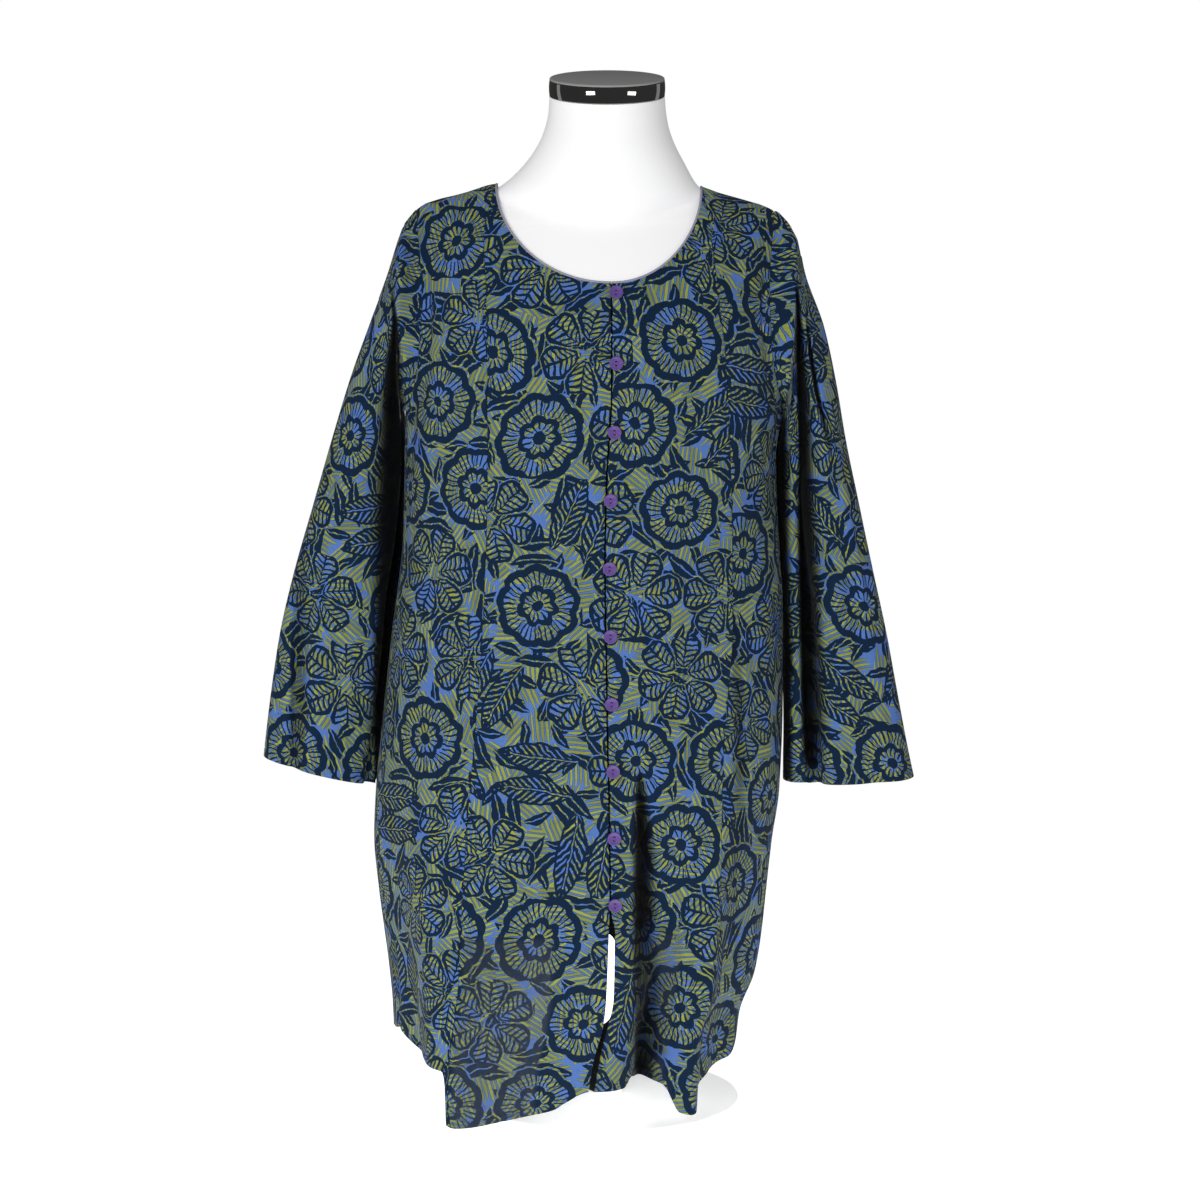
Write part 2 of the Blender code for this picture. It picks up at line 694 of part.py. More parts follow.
def armhole_edges(side, places):
    """The sleeve's two rings at the armhole, and the way its wall faces there.

    The first lies on the body's surface just inside the hole, and the second stands out from it, so
    that the sleeve clears the body before it falls.
    """
    ring = Ring(*SLEEVES[SIDE_WORD[side]][0])
    mouth = np.array((ring.outer_x + side * 90.0, RIDGE_Y, mix(UNDERARM, SHOULDER_TIP, 0.4)))
    start, turned_out, directions = [], [], []
    for place in places:
        normal = body_normal(*place)
        spot = np.array(body_point(*place))
        away = mouth - spot
        away -= normal * np.dot(away, normal)
        away /= np.linalg.norm(away)
        risen = (place[1] - UNDERARM) / (SHOULDER_TIP - UNDERARM)
        start.append(spot + away * SEAM_GAP * mix(1.5, 2.5, risen))
        turned_out.append(spot + away * mix(1.2, 2.4, risen)
                          + normal * mix(TURN_OUT, 0.0, smoothstep(risen)))
        directions.append(normal)
    return start, turned_out, directions


def level_turns(places):
    """The turn round a sleeve ring that lies as high in it as each place lies in the armhole."""
    turns = []
    for index, (_, height) in enumerate(places):
        level = 2 * (height - UNDERARM) / (SHOULDER_TIP - UNDERARM) - 1
        level = min(max(level, -1.0), 1.0)
        turn = math.acos(math.copysign(abs(level) ** (SLEEVE_POWER / 2), level))
        turns.append(turn if index <= len(places) / 2 else 2 * math.pi - turn)
    return turns


def sleeve_ring(side, number, turns):
    """One ring of a sleeve, with its folds, kept clear of the body."""
    word = SIDE_WORD[side]
    ring = Ring(*SLEEVES[word][number - 1])
    outer = np.array((ring.outer_x, ring.outer_y, ring.outer_z))
    inner = np.array((ring.inner_x, ring.inner_y, ring.inner_z))
    middle = (outer + inner) / 2
    power = 2 / SLEEVE_POWER
    spots = []
    for turn in turns:
        cosine = math.copysign(abs(math.cos(turn)) ** power, math.cos(turn))
        sine = math.copysign(abs(math.sin(turn)) ** power, math.sin(turn))
        depth = ring.front if sine > 0 else ring.back
        offset = (outer - inner) / 2 * cosine - np.array((0.0, depth * sine, 0.0))
        push = sleeve_push(word, math.degrees(turn), number / len(SLEEVES[word]))
        spot = middle + offset + offset / np.linalg.norm(offset) * push
        spot[0] = clear_of_body(side, *spot)
        spots.append(spot)
    return spots


def sleeve(name, side, front_grid, back_grid, finish, collection):
    places = armhole_ring(side, front_grid, back_grid)
    start, turned_out, directions = armhole_edges(side, places)
    rings = [start, turned_out]
    even_turns = [2 * math.pi * index / len(places) for index in range(len(places))]
    for number in range(1, len(SLEEVES[SIDE_WORD[side]]) + 1):
        even = smoothstep((number - 1) / 4)
        turns = [mix(*pair, even) for pair in zip(level_turns(places), even_turns)]
        rings.append(sleeve_ring(side, number, turns))
    rings = rings[::-1]
    if side == 1:
        rings = [ring[::-1] for ring in rings]
        directions = directions[::-1]
    normals = grid_normals(rings)
    normals[-1] = directions
    return cloth_wall(name, rings, normals, finish, collection, closed=True)


# ---------------------------------------------------------------- neck binding
def neck_places():
    """Places along the whole neckline, from the right opening edge round the back to the left."""
    def front(side):
        places = []
        for column in range(CENTRE_COLUMNS + 1):
            x, height = neckline(side, column / CENTRE_COLUMNS)
            places.append((angle_at(x, height), height))
        return places

    rear = [back_place(LOW_ROWS + HIGH_ROWS, SHOULDER_COLUMNS + column)
            for column in range(NECK_COLUMNS + 1)]
    return front(1) + rear[1:-1] + front(-1)[::-1]


def neck_binding(name, finish, collection):
    places = neck_places()
    path = np.array([body_point(*place) for place in places])
    normals = np.array([body_normal(*place) for place in places])
    tangents = np.gradient(path, axis=0)
    tangents /= np.linalg.norm(tangents, axis=1, keepdims=True)
    upwards = np.cross(normals, tangents)
    upwards /= np.linalg.norm(upwards, axis=1, keepdims=True)
    corner = 0.30
    section = ((0, -corner), (0, corner - 1), (corner, -1), (1 - corner, -1), (1, corner - 1),
               (1, -corner), (1 - corner, 0), (corner, 0))
    points = []
    for spot, normal, up in zip(path, normals, upwards):
        for rise, sink in section:
            points.append(spot + up * (SEAM_GAP + rise * BINDING_WIDTH)
                          + normal * (0.3 + sink * BINDING_THICKNESS))
    sides = len(section)
    faces = [tuple(range(sides))[::-1]]
    for i in range(len(places) - 1):
        for j in range(sides):
            k = (j + 1) % sides
            faces.append((i * sides + j, i * sides + k, (i + 1) * sides + k, (i + 1) * sides + j))
    faces.append(tuple((len(places) - 1) * sides + j for j in range(sides)))
    return mesh_object(name, points, faces, finish, collection)


# ---------------------------------------------------------------- buttons
def button(name, height, finish, collection):
    """A two-hole button with a raised rim and a thread shank that stops just off the cloth."""
    r, t = BUTTON_RADIUS, BUTTON_THICKNESS
    profile = ((0.0, t - BUTTON_DISH), (r - BUTTON_RIM - 0.4, t - BUTTON_DISH),
               (r - BUTTON_RIM, t), (r - 0.3, t - 0.2), (r, 0.4), (r - 0.5, 0.0),
               (BUTTON_SHANK_RADIUS, 0.0), (BUTTON_SHANK_RADIUS, -BUTTON_SHANK + SEAM_GAP),
               (0.0, -BUTTON_SHANK + SEAM_GAP))
    made = turned(name, profile, BUTTON_SIDES, finish, collection)
    x = OPENING_X[1](height) + BUTTON_OFFSET
    angle = angle_at(x, height)
    normal = body_normal(angle, height)
    spot = np.array(body_point(angle, height)) + normal * BUTTON_SHANK
    made.location = [c * METRE for c in spot]
    made.rotation_mode = "QUATERNION"
    made.rotation_quaternion = rotation_to(normal)
    return made


def rotation_to(normal):
    """The turn that brings +Z onto a direction."""
    return Vector((0, 0, 1)).rotation_difference(Vector(normal))


# ---------------------------------------------------------------- dress form
def ray_to_cloth(direction, height, keep):
    """Distance from the form's axis to just inside the cloth, along a direction in plan."""
    near, far = 0.0, 260.0
    for _ in range(30):
        middle = (near + far) / 2
        x = FORM_CENTRE + direction[0] * middle
        y = direction[1] * middle
        share = abs(x - centre_x(height)) / (half_width(height) - keep)
        inside = False
        if share < 1 and height + WALL + SHOULDER_CLEARANCE < ridge_height(x):
            along = (1 - share ** SECTION_POWER) ** (1 / SECTION_POWER)
            if y < RIDGE_Y:
                depth = (RIDGE_Y - BODY_FRONT(height)) * along * rounding(
                    x, height + WALL + SHOULDER_CLEARANCE, FRONT_ROUNDING)
                inside = RIDGE_Y - y < depth - keep * 0.4
            else:
                depth = (BODY_BACK(height) - RIDGE_Y) * along * rounding(
                    x, height + WALL + SHOULDER_CLEARANCE, BACK_ROUNDING)
                inside = y - RIDGE_Y < depth - keep * 0.4
        near, far = (middle, far) if inside else (near, middle)
    return near


def form_radius(turn, height):
    """Radius of the form in plan at one direction: torso inside the cloth, joined to the neck."""
    direction = (math.sin(turn), -math.cos(turn))
    width = TORSO_WIDTH(height)
    depth = -TORSO_FRONT(height) if direction[1] < 0 else TORSO_BACK(height)
    torso = 1 / (abs(direction[0] / width) ** 2.4 + abs(direction[1] / depth) ** 2.4) ** (1 / 2.4)
    if height > UNDERARM - 60:
        cloth = ray_to_cloth(direction, height, WALL + FORM_CLEARANCE)
        torso = soft_least(torso, max(cloth, 1.0), 2.5)
    if height < 800:
        return torso
    width = NECK_RIGHT(height) if direction[0] < 0 else NECK_LEFT(height)
    depth = -NECK_FRONT(height) if direction[1] < 0 else NECK_BACK(height)
    neck = 1 / math.hypot(direction[0] / width, direction[1] / depth)
    return -soft_least(-torso, -neck, 4.0)


def dress_form(name, finish, collection):
    points = []
    for height in FORM_HEIGHTS:
        lean = smoothstep((height - 905) / (FORM_HEIGHTS[-1] - 905))
        pull = 0.965 if height == FORM_HEIGHTS[0] else 1.0
        for index in range(FORM_SIDES):
            turn = 2 * math.pi * index / FORM_SIDES
            radius = form_radius(turn, height) * pull
            x = FORM_CENTRE + radius * math.sin(turn)
            y = -radius * math.cos(turn)
            points.append((x, y, height + (y - CAP_CENTRE_Y) * math.tan(CAP_TILT) * lean))
    faces = [tuple(range(FORM_SIDES))[::-1]]
    for i in range(len(FORM_HEIGHTS) - 1):
        for j in range(FORM_SIDES):
            k = (j + 1) % FORM_SIDES
            faces.append((i * FORM_SIDES + j, i * FORM_SIDES + k,
                          (i + 1) * FORM_SIDES + k, (i + 1) * FORM_SIDES + j))
    top = (len(FORM_HEIGHTS) - 1) * FORM_SIDES
    faces.append(tuple(top + j for j in range(FORM_SIDES)))
    return mesh_object(name, points, faces, finish, collection)


def neck_fittings(band_finish, cap_finish, collection):
    """The bright band round the top of the neck and the flat cap that closes it."""
    band_base = BAND_BOTTOM + 0.3
    band = turned("neck_band", (
        (0.0, BAND_HEIGHT), (CAP_RADIUS - 0.8, BAND_HEIGHT), (CAP_RADIUS, BAND_HEIGHT - 0.8),
        (CAP_RADIUS, 0.8), (CAP_RADIUS - 0.8, 0.0), (0.0, 0.0)), 48, band_finish, collection)
    cap = turned("neck_cap", (
        (0.0, CAP_THICKNESS), (CAP_RADIUS - 2.2, CAP_THICKNESS),
        (CAP_RADIUS - 0.9, CAP_THICKNESS - 0.8), (CAP_RADIUS - 0.5, 0.4),
        (CAP_RADIUS - 0.9, 0.0), (0.0, 0.0)), 48, cap_finish, collection)
    for piece, rise in ((band, 0.0), (cap, BAND_HEIGHT + 0.3)):
        piece.rotation_euler = (CAP_TILT, 0.0, 0.0)
        piece.location = (FORM_CENTRE * METRE,
                          (CAP_CENTRE_Y - rise * math.sin(CAP_TILT)) * METRE,
                          (band_base + rise * math.cos(CAP_TILT)) * METRE)


def stand(finish, collection):
    turned("base_plate", (
        (0.0, BASE_THICKNESS), (BASE_RADIUS - BASE_EDGE, BASE_THICKNESS),
        (BASE_RADIUS, BASE_THICKNESS - BASE_EDGE), (BASE_RADIUS, 0.0), (0.0, 0.0)),
        48, finish, collection)
    bottom = BASE_THICKNESS + 0.3
    top = FORM_HEIGHTS[0] - 0.3
    turned("pole", ((0.0, top), (POLE_RADIUS, top), (POLE_RADIUS, bottom), (0.0, bottom)),
           20, finish, collection)


# ---------------------------------------------------------------- the whole object
def main():
    for old in list(bpy.data.objects):
        bpy.data.objects.remove(old, do_unlink=True)
    collection = bpy.data.collections.new("tunic_top_on_dress_form")
    bpy.context.scene.collection.children.link(collection)

    def cloth(name):
        return material(name, NAVY, 0.9)

    back_grid = back("back")
    for side, word in SIDE_WORD.items():
        centre_name = f"centre_front_{word}"
        side_name = f"side_front_{word}"
        centre_grid = centre_front(side, centre_name)
        side_grid = side_front(side, side_name)
        panel_wall(centre_name, centre_grid, cloth(centre_name), collection, side == -1)
        panel_wall(side_name, side_grid, cloth(side_name), collection, side == -1)
        sleeve(f"sleeve_{word}", side, side_grid, back_grid, cloth(f"sleeve_{word}"), collection)
    panel_wall("back", back_grid, cloth("back"), collection, False)
    neck_binding("neck_binding", material("neck_binding", BOUND_GREY, 0.8), collection)
    for number in range(BUTTON_COUNT):
        name = f"button_{number + 1:02d}"
        button(name, BUTTON_TOP - number * BUTTON_PITCH, material(name, PURPLE, 0.4), collection)
    dress_form("dress_form", material("dress_form", WHITE, 0.55), collection)
    neck_fittings(material("neck_band", CHROME, 0.06, 1.0), material("neck_cap", GREY, 0.6),
                  collection)
    stand(material("stand", WHITE, 0.4), collection)


main()
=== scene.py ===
"""Looks of the tunic top on its dress form: cloth shells, print, sewing, buttons, form and stand.

Sizes are in millimetres; METRE turns them into Blender's metres when a mesh is made. The tables
and functions that shape the cloth follow the part's source, at finer steps, and the sleeves' inner
sides lie a little closer to the body. A table's other columns are read against its first one.
Sides are -1 for the wearer's right and 1 for the left.
"""
import math
from bisect import bisect_right
from collections import namedtuple
from functools import partial, partialmethod

import bpy
import numpy as np
from mathutils import Matrix, Vector

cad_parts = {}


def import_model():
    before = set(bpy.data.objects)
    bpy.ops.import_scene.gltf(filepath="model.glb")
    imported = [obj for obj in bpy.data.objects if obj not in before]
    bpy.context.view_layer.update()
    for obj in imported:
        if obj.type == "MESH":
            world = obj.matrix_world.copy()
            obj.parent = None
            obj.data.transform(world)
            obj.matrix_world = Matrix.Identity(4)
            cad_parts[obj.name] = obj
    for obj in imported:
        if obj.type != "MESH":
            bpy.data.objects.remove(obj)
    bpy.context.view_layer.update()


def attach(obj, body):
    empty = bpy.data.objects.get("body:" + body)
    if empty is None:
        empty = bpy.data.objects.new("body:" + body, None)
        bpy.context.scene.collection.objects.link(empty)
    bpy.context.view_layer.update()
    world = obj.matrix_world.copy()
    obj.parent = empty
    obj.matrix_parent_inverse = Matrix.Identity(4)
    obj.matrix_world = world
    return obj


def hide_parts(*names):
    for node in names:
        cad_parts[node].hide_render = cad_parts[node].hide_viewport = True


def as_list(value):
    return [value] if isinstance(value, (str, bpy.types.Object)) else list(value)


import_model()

METRE = 0.001

# ---- driving dimensions
WALL = 1.6                 # modelled thickness of the cloth
SEAM_GAP = 0.3             # between neighbouring panels
FORM_CLEARANCE = 1.8       # between the cloth's inside and the form's chest and back
SHOULDER_CLEARANCE = 2.2   # between the cloth's inside and the form's shoulders
CLOTH_CENTRE = -12.0       # the garment hangs a little towards the wearer's right
UNDERARM = 664.0           # height of the armhole's lowest point
SHOULDER_TIP = 848.0       # height of the armhole's highest point
NECK_SEAM = 872.5          # about where shoulder seam, neckline and princess seam meet
FRONT_NECK = 786.0         # lowest point of the front neckline
BACK_NECK = 838.0          # lowest point of the back neckline
RIDGE_Y = 4.0              # the shoulder seams run just behind the form's axis
SECTION_POWER = 2.3        # body sections are superellipses with this exponent
FRONT_ROUNDING = 150.0     # height over which the front rounds away from the shoulder ridge
BACK_ROUNDING = 120.0

# ---- mesh density
LOW_ROWS = 15              # rows from hem to underarm
HIGH_ROWS = 10             # rows from underarm to shoulder
SHOULDER_COLUMNS = 7       # columns of a side-front panel and of each back shoulder
NECK_COLUMNS = 14          # columns below the back neckline

# ---- body sections
# Height, the widest points (right, left) and the deepest (front, back) of the hanging cloth.
BODY_SECTIONS = (
    (0,    -200, 120, -128, 118),
    (90,   -203, 126, -128, 118),
    (132,  -207, 141, -127, 118),
    (170,  -212, 147, -126, 118),
    (210,  -217, 151, -125, 117),
    (258,  -221, 156, -124, 115),
    (306,  -219, 162.5, -123, 113),
    (384,  -211, 165, -121, 109),
    (457,  -203, 165, -119, 105),
    (493,  -198, 164, -118, 103),
    (547,  -192, 160, -117, 100),
    (621,  -190, 157, -117, 96),
    (664,  -189, 163, -117, 95),
    (720,  -188, 164, -114, 95),
    (780,  -188, 164, -102, 93),
    (850,  -188, 164, -86,  88),
    (900,  -188, 164, -74,  80),
)

# Distance from the garment's centre, and height of the shoulder ridge there.
SHOULDER_RIDGE = (
    (0,   875.0),
    (92,  872.5),
    (120, 865.5),
    (145, 858.5),
    (160, 854.0),
    (168, 848.0),
    (182, 834.0),
)

RIDGE_TILT = -0.008        # the garment sits a little higher on the wearer's right shoulder

# ---- seams and edges
# Height, and x of the right and the left front's edge, which part below the last button.
OPENING = (
    (20,   -22.0, -15.0),
    (46,   -18.5, -13.0),
    (77,   -13.5, -8.0),
    (108,  -5.2,  -1.0),
    (133,  -2.2,  4.0),
    (193,  0.4,   5.4),
    (212,  1.0,   2.0),
    (221,  1.2,   1.6),
    (318,  0.2,   0.6),
    (374,  -1.2,  -0.8),
    (438,  -2.1,  -1.7),
    (528,  -3.5,  -3.1),
    (610,  -2.1,  -1.7),
    (656,  1.0,   1.4),
    (683,  2.4,   2.8),
    (800,  2.4,   2.8),
)

# Height, and x of the right and the left princess seam, from the hem to the side of the neck.
PRINCESS = (
    (10,   -140.5, 80.5),
    (49,   -139.5, 82.0),
    (87,   -137.0, 85.0),
    (140,  -132.0, 94.0),
    (192,  -131.0, 101.0),
    (288,  -127.0, 104.0),
    (384,  -120.0, 108.0),
    (472,  -114.5, 114.5),
    (619,  -109.5, 112.0),
    (700,  -109.5, 108.0),
    (770,  -110.5, 101.0),
    (829,  -113.5, 94.0),
    (871,  -104.0, 87.0),
)

SIDE_ANGLE = {-1: -78.0, 1: 84.0}     # where the side seams run, by side
SLIT_TOP = 112.0                      # the side seams end in short slits at the hem
SLIT_SPREAD = 1.6                     # degrees by which each slit edge stands away at the hem

# Climb from the underarm (0) to the shoulder tip (1), and the armholes' angles there: right front,
# right back, left front, left back.
ARMHOLE = (
    (0.00, -78.0, -78.0,  84.0, 84.0),
    (0.16, -69.0, -93.0,  71.0, 97.0),
    (0.34, -65.0, -107.0, 66.0, 108.0),
    (0.60, -63.0, -115.0, 64.0, 115.0),
    (1.00, -69.0, -111.0, 69.0, 111.0),
)

# Hem heights by place: 0 is a panel's edge nearer the opening, 1 its other edge. The back panel is
# read from the left side seam round to the right one. The centre-front panels hang lowest, and the
# tails rise to the side slits.
HEMS = {
    "centre_front_right": ((0, 46.7), (0.06, 43), (0.11, 37), (0.18, 28), (0.36, 22), (0.57, 16.4),
                           (0.81, 10.5), (0.94, 9), (1, 11)),
    "side_front_right": ((0, 11), (0.03, 54), (0.06, 62), (0.27, 64), (0.65, 66), (1, 79)),
    "centre_front_left": ((0, 46.7), (0.23, 47.5), (0.31, 55), (0.4, 50.5), (0.5, 48.4),
                          (0.62, 46.5), (0.66, 41), (0.7, 30), (0.74, 21.5), (0.83, 19.3),
                          (0.91, 21.2), (0.955, 27), (1, 42)),
    "side_front_left": ((0, 42), (0.16, 46), (0.4, 50), (0.6, 54), (0.72, 55), (0.95, 69), (1, 85)),
    "back": ((0, 85), (0.05, 77), (0.2, 66), (0.5, 52), (0.8, 58), (0.94, 72), (1, 79)),
}

# Folds of the hanging cloth. Each runs from its top height down to the hem, drifting from one angle
# to another, and pushes the surface out (+) or in (-) within a width in degrees on each side.
Fold = namedtuple("Fold", "top top_angle hem_angle depth width_right width_left")
FOLDS = tuple(Fold(*row) for row in (
    (520, -40, -40,  22, 9, 22),      # the lifted front edge of the right centre front
    (420, -66, -62, -14, 10, 8),      # the hollow behind it
    (360, 22,  25,  -30, 4.5, 5.5),   # deep fold beside the opening
    (330, 12,  10,   10, 9, 6),       # the ridge that carries the opening
    (360, 42,  40,   20, 6, 4.5),     # the pointed fold at the left princess seam
    (430, 62,  62,  -12, 9, 9),       # the hollow beyond it
    (560, -102, -100, 8, 9, 9),
    (520, -128, -124, -15, 8, 8),
    (600, -150, -148, 13, 9, 9),
    (480, -172, -168, -14, 9, 9),
    (560, 166, 168,  14, 9, 9),
    (500, 143, 147, -15, 8, 8),
    (600, 122, 124,  14, 9, 9),
    (480, 102, 100, -12, 8, 8),
))

FOLD_TOP_WIDTH = 1.35      # a fold is this much wider where it begins than at the hem

# ---- sleeves
# One row for each ring: the outer and the inner point of the tube, how far behind the form's axis
# each lies, and how deep the tube is in front of and behind its middle.
Ring = namedtuple("Ring", "outer_x outer_y outer_z inner_x inner_y inner_z front back")
SLEEVES = {
    "right": (
        (-192, -4, 827, -192.5, -8, 656, 50, 54),
        (-204, -4, 790, -191.5, 16, 644, 56, 57),
        (-221, -2, 745, -188, 26, 626, 58, 57),
        (-239, -2, 696, -185, 30, 602, 57, 55),
        (-258, -4, 635, -184, 28, 568, 55, 53),
        (-276, -4, 574, -186, 22, 528, 52, 50),
        (-294, -4, 513, -192, 14, 484, 49, 47),
        (-308, -4, 455, -195, 14, 438, 46, 45),
        (-317, -4, 400, -201, 14, 388, 44, 43),
        (-323, -4, 355, -208, 12, 340, 43, 42),
        (-325, -4, 338, -213, 8, 309, 42, 42),
    ),
    "left": (
        (174, 2, 828, 167.5, -2, 656, 50, 54),
        (183, 0, 790, 160, 20, 644, 56, 57),
        (200.5, 0, 742, 155, 28, 628, 58, 57),
        (211.5, 0, 694, 151, 32, 602, 57, 55),
        (222, -2, 635, 153, 30, 568, 55, 53),
        (234, -4, 579, 155, 24, 528, 52, 50),
        (248, -4, 515, 159, 16, 484, 49, 47),
        (261.5, -4, 455, 161, 8, 438, 46, 45),
        (272.5, -4, 398, 162, 2, 388, 44, 43),
        (283, -4, 345, 163, -4, 341, 43, 42),
        (289, -4, 318, 165, -4, 315, 42, 42),
    ),
}
SLEEVE_LENGTH = 480.0      # about, for placing creases
SLEEVE_POWER = 2.2         # sleeve rings are superellipses with this exponent
TURN_OUT = 1.8             # the sleeve stands out this far from the body at the underarm
CLEAR_WITHIN = 216.0       # beyond this x nothing of a sleeve can meet the body
SLEEVE_CLEAR = 0.9         # least distance between the body's and a sleeve's outer faces
# Sleeve folds: place round the ring in degrees from the outer edge through the front, at the
# armhole and at the cuff, where along the sleeve each begins (0 armhole, 1 cuff), depth and width.
SleeveFold = namedtuple("SleeveFold", "armhole_place cuff_place begin depth width")
SLEEVE_FOLDS = {
    "right": ((146, 150, 0.05, -10, 13), (48, 56, 0.45, -7, 14), (240, 240, 0.3, -8, 16)),
    "left": ((98, 128, 0.0, -14, 13), (54, 66, 0.35, -6, 15), (236, 236, 0.3, -8, 16)),
}

# ---- neck binding and buttons
BUTTON_RADIUS = 6.3
BUTTON_THICKNESS = 2.6
BUTTON_RIM = 1.1           # width of the raised rim
BUTTON_DISH = 0.7          # depth of the dished middle
HOLE_RADIUS = 0.95
HOLE_PLACE = 1.45          # from the button's middle
BUTTON_SHANK = 0.9         # the button stands this far off the cloth
BUTTON_COUNT = 10
BUTTON_TOP = 777.0
BUTTON_PITCH = 61.9
BUTTON_OFFSET = 4.3        # the buttons sit beside the opening, on the left front

# ---- dress form
# Torso sections: height, half width, front and back depth.
TORSO = (
    (183, 128, -90, 84),
    (230, 134, -95, 90),
    (300, 138, -98, 94),
    (380, 138, -96, 90),
    (460, 126, -90, 80),
    (530, 124, -92, 80),
    (610, 138, -107, 86),
    (680, 150, -114, 90),
    (730, 158, -116, 92),
    (800, 162, -116, 92),
    (880, 162, -116, 92),
)
FORM_HEIGHTS = 183, 952.7  # lowest and highest
# Neck sections: height, reach to the right, to the left, to the front and to the back.
NECK = (
    (800, 40, 38, -38, 30),
    (830, 58, 52, -54, 40),
    (850, 84, 72, -59, 49),
    (862, 106, 90, -61, 54),
    (871, 99.5, 84, -61, 56),
    (877.5, 91, 80, -61, 57),
    (888, 79.5, 74.8, -62, 57),
    (907, 64.5, 63.3, -62, 54),
    (923, 57.3, 57.2, -60.5, 50),
    (940, 53.8, 54.2, -60, 47),
    (953, 53.2, 53.2, -59.6, 46.6),
)
FORM_CENTRE = -1.0
FORM_SIDES = 120
FORM_EDGE = 0.975, 0.985, 0.994, 0.9985     # the lowest rings' shares of their radius
FORM_SOFT = 840, 925           # heights between which the shoulders ease into the neck
LEAN_FROM = 905                # above this the neck's rings lean to meet its band
CAP_TILT = math.radians(8.0)   # the neck cap leans forwards
CAP_RADIUS = 53.5
BAND_BOTTOM = 953.0            # lowest height of the neck band on the form's axis
BAND_HEIGHT = 14.7
CAP_THICKNESS = 2.0
CAP_CENTRE_Y = -6.5
POLE_RADIUS = 14.0
BASE_RADIUS = 125.0
BASE_THICKNESS = 7.0


# ---- curves through the tables
def eased_step(start, end, slope_in, slope_out, width, t):
    """A point of the smooth curve between two rows."""
    return (start * (1 + 2 * t) * (1 - t) ** 2 + slope_in * width * t * (1 - t) ** 2
            + end * t * t * (3 - 2 * t) - slope_out * width * t * t * (1 - t))


def curve(xs, ys):
    """A smooth curve through points, which never overshoots them."""
    steps = [(ys[i + 1] - ys[i]) / (xs[i + 1] - xs[i]) for i in range(len(xs) - 1)]
    slopes = [steps[0]]
    for before, after in zip(steps, steps[1:]):
        slopes.append(0.0 if before * after <= 0 else 2 * before * after / (before + after))
    slopes.append(steps[-1])

    def value(x):
        x = min(max(x, xs[0]), xs[-1])
        i = min(max(bisect_right(xs, x) - 1, 0), len(steps) - 1)
        width = xs[i + 1] - xs[i]
        return eased_step(*ys[i:i + 2], *slopes[i:i + 2], width, (x - xs[i]) / width)

    return value


def curves(rows):
    """A curve for each of a table's other columns against its first."""
    xs, *columns = zip(*sorted(rows))
    return [curve(xs, ys) for ys in columns]


BODY_RIGHT, BODY_LEFT, BODY_FRONT, BODY_BACK = curves(BODY_SECTIONS)
RIDGE, = curves(SHOULDER_RIDGE)
SIDE_WORD = {-1: "right", 1: "left"}
OPENING_X = dict(zip(SIDE_WORD, curves(OPENING)))
PRINCESS_X = dict(zip(SIDE_WORD, curves(PRINCESS)))
ARMHOLE_ANGLE = dict(zip([(side, face) for side in SIDE_WORD for face in ("front", "back")],
                         curves(ARMHOLE)))
HEM_HEIGHT = {name: curves(rows)[0] for name, rows in HEMS.items()}
TORSO_WIDTH, TORSO_FRONT, TORSO_BACK = curves(TORSO)
NECK_RIGHT, NECK_LEFT, NECK_FRONT, NECK_BACK = curves(NECK)


def smoothstep(t):
    t = min(max(t, 0.0), 1.0)
    return t * t * (3 - 2 * t)


def mix(a, b, t):
    return a + (b - a) * t


def bent(value, power):
    """A power that keeps its value's sign."""
    return math.copysign(abs(value) ** power, value)


def angle_between(angle, other):
    """From the other angle to this one, the short way round."""
    return (angle - other + 180) % 360 - 180


def soft_least(a, b, softness):
    return -softness * math.log(math.exp(-a / softness) + math.exp(-b / softness))


# ---- the cloth's surface
def half_width(height):
    return (BODY_LEFT(height) - BODY_RIGHT(height)) / 2


def centre_x(height):
    return (BODY_LEFT(height) + BODY_RIGHT(height)) / 2


def ridge_height(x):
    return RIDGE(abs(x - CLOTH_CENTRE)) + RIDGE_TILT * (x - CLOTH_CENTRE)


def side_neck(side):
    """The x and height where shoulder seam, neckline and princess seam meet."""
    x = PRINCESS_X[side](NECK_SEAM)
    return x, ridge_height(x)


def rounding(x, height, reach):
    """How far the cloth has come away from the shoulder ridge: 0 on the ridge, 1 well below it."""
    drop = min(max((ridge_height(x) - height) / reach, 0.0), 1.0)
    return math.sqrt(1 - (1 - drop) ** 2)


def fold_push(angle, height):
    """Outward push of all the folds at one place."""
    push = 0.0
    for fold in FOLDS:
        fall = (fold.top - height) / fold.top
        if fall <= 0:
            continue
        off = angle_between(angle, mix(fold.top_angle, fold.hem_angle, fall))
        width = (fold.width_left if off > 0 else fold.width_right) * mix(FOLD_TOP_WIDTH, 1, fall)
        push += fold.depth * smoothstep(fall) * math.exp(-(off / width) ** 2)
    return push


def body_point(angle, height, lift=0.0):
    """A point of the body cloth's outer face, lifted outwards in plan if asked."""
    turn = math.radians(angle)
    power = 2 / SECTION_POWER
    across = bent(math.sin(turn), power)
    along = abs(math.cos(turn)) ** power
    x = centre_x(height) + half_width(height) * across
    if math.cos(turn) >= 0:
        depth = (RIDGE_Y - BODY_FRONT(height)) * along * rounding(x, height, FRONT_ROUNDING)
        y = RIDGE_Y - SEAM_GAP / 2 - depth
    else:
        depth = (BODY_BACK(height) - RIDGE_Y) * along * rounding(x, height, BACK_ROUNDING)
        y = RIDGE_Y + SEAM_GAP / 2 + depth
    push = fold_push(angle, height) + lift
    return (x + push * math.sin(turn) * 0.75, y - push * math.cos(turn), height)


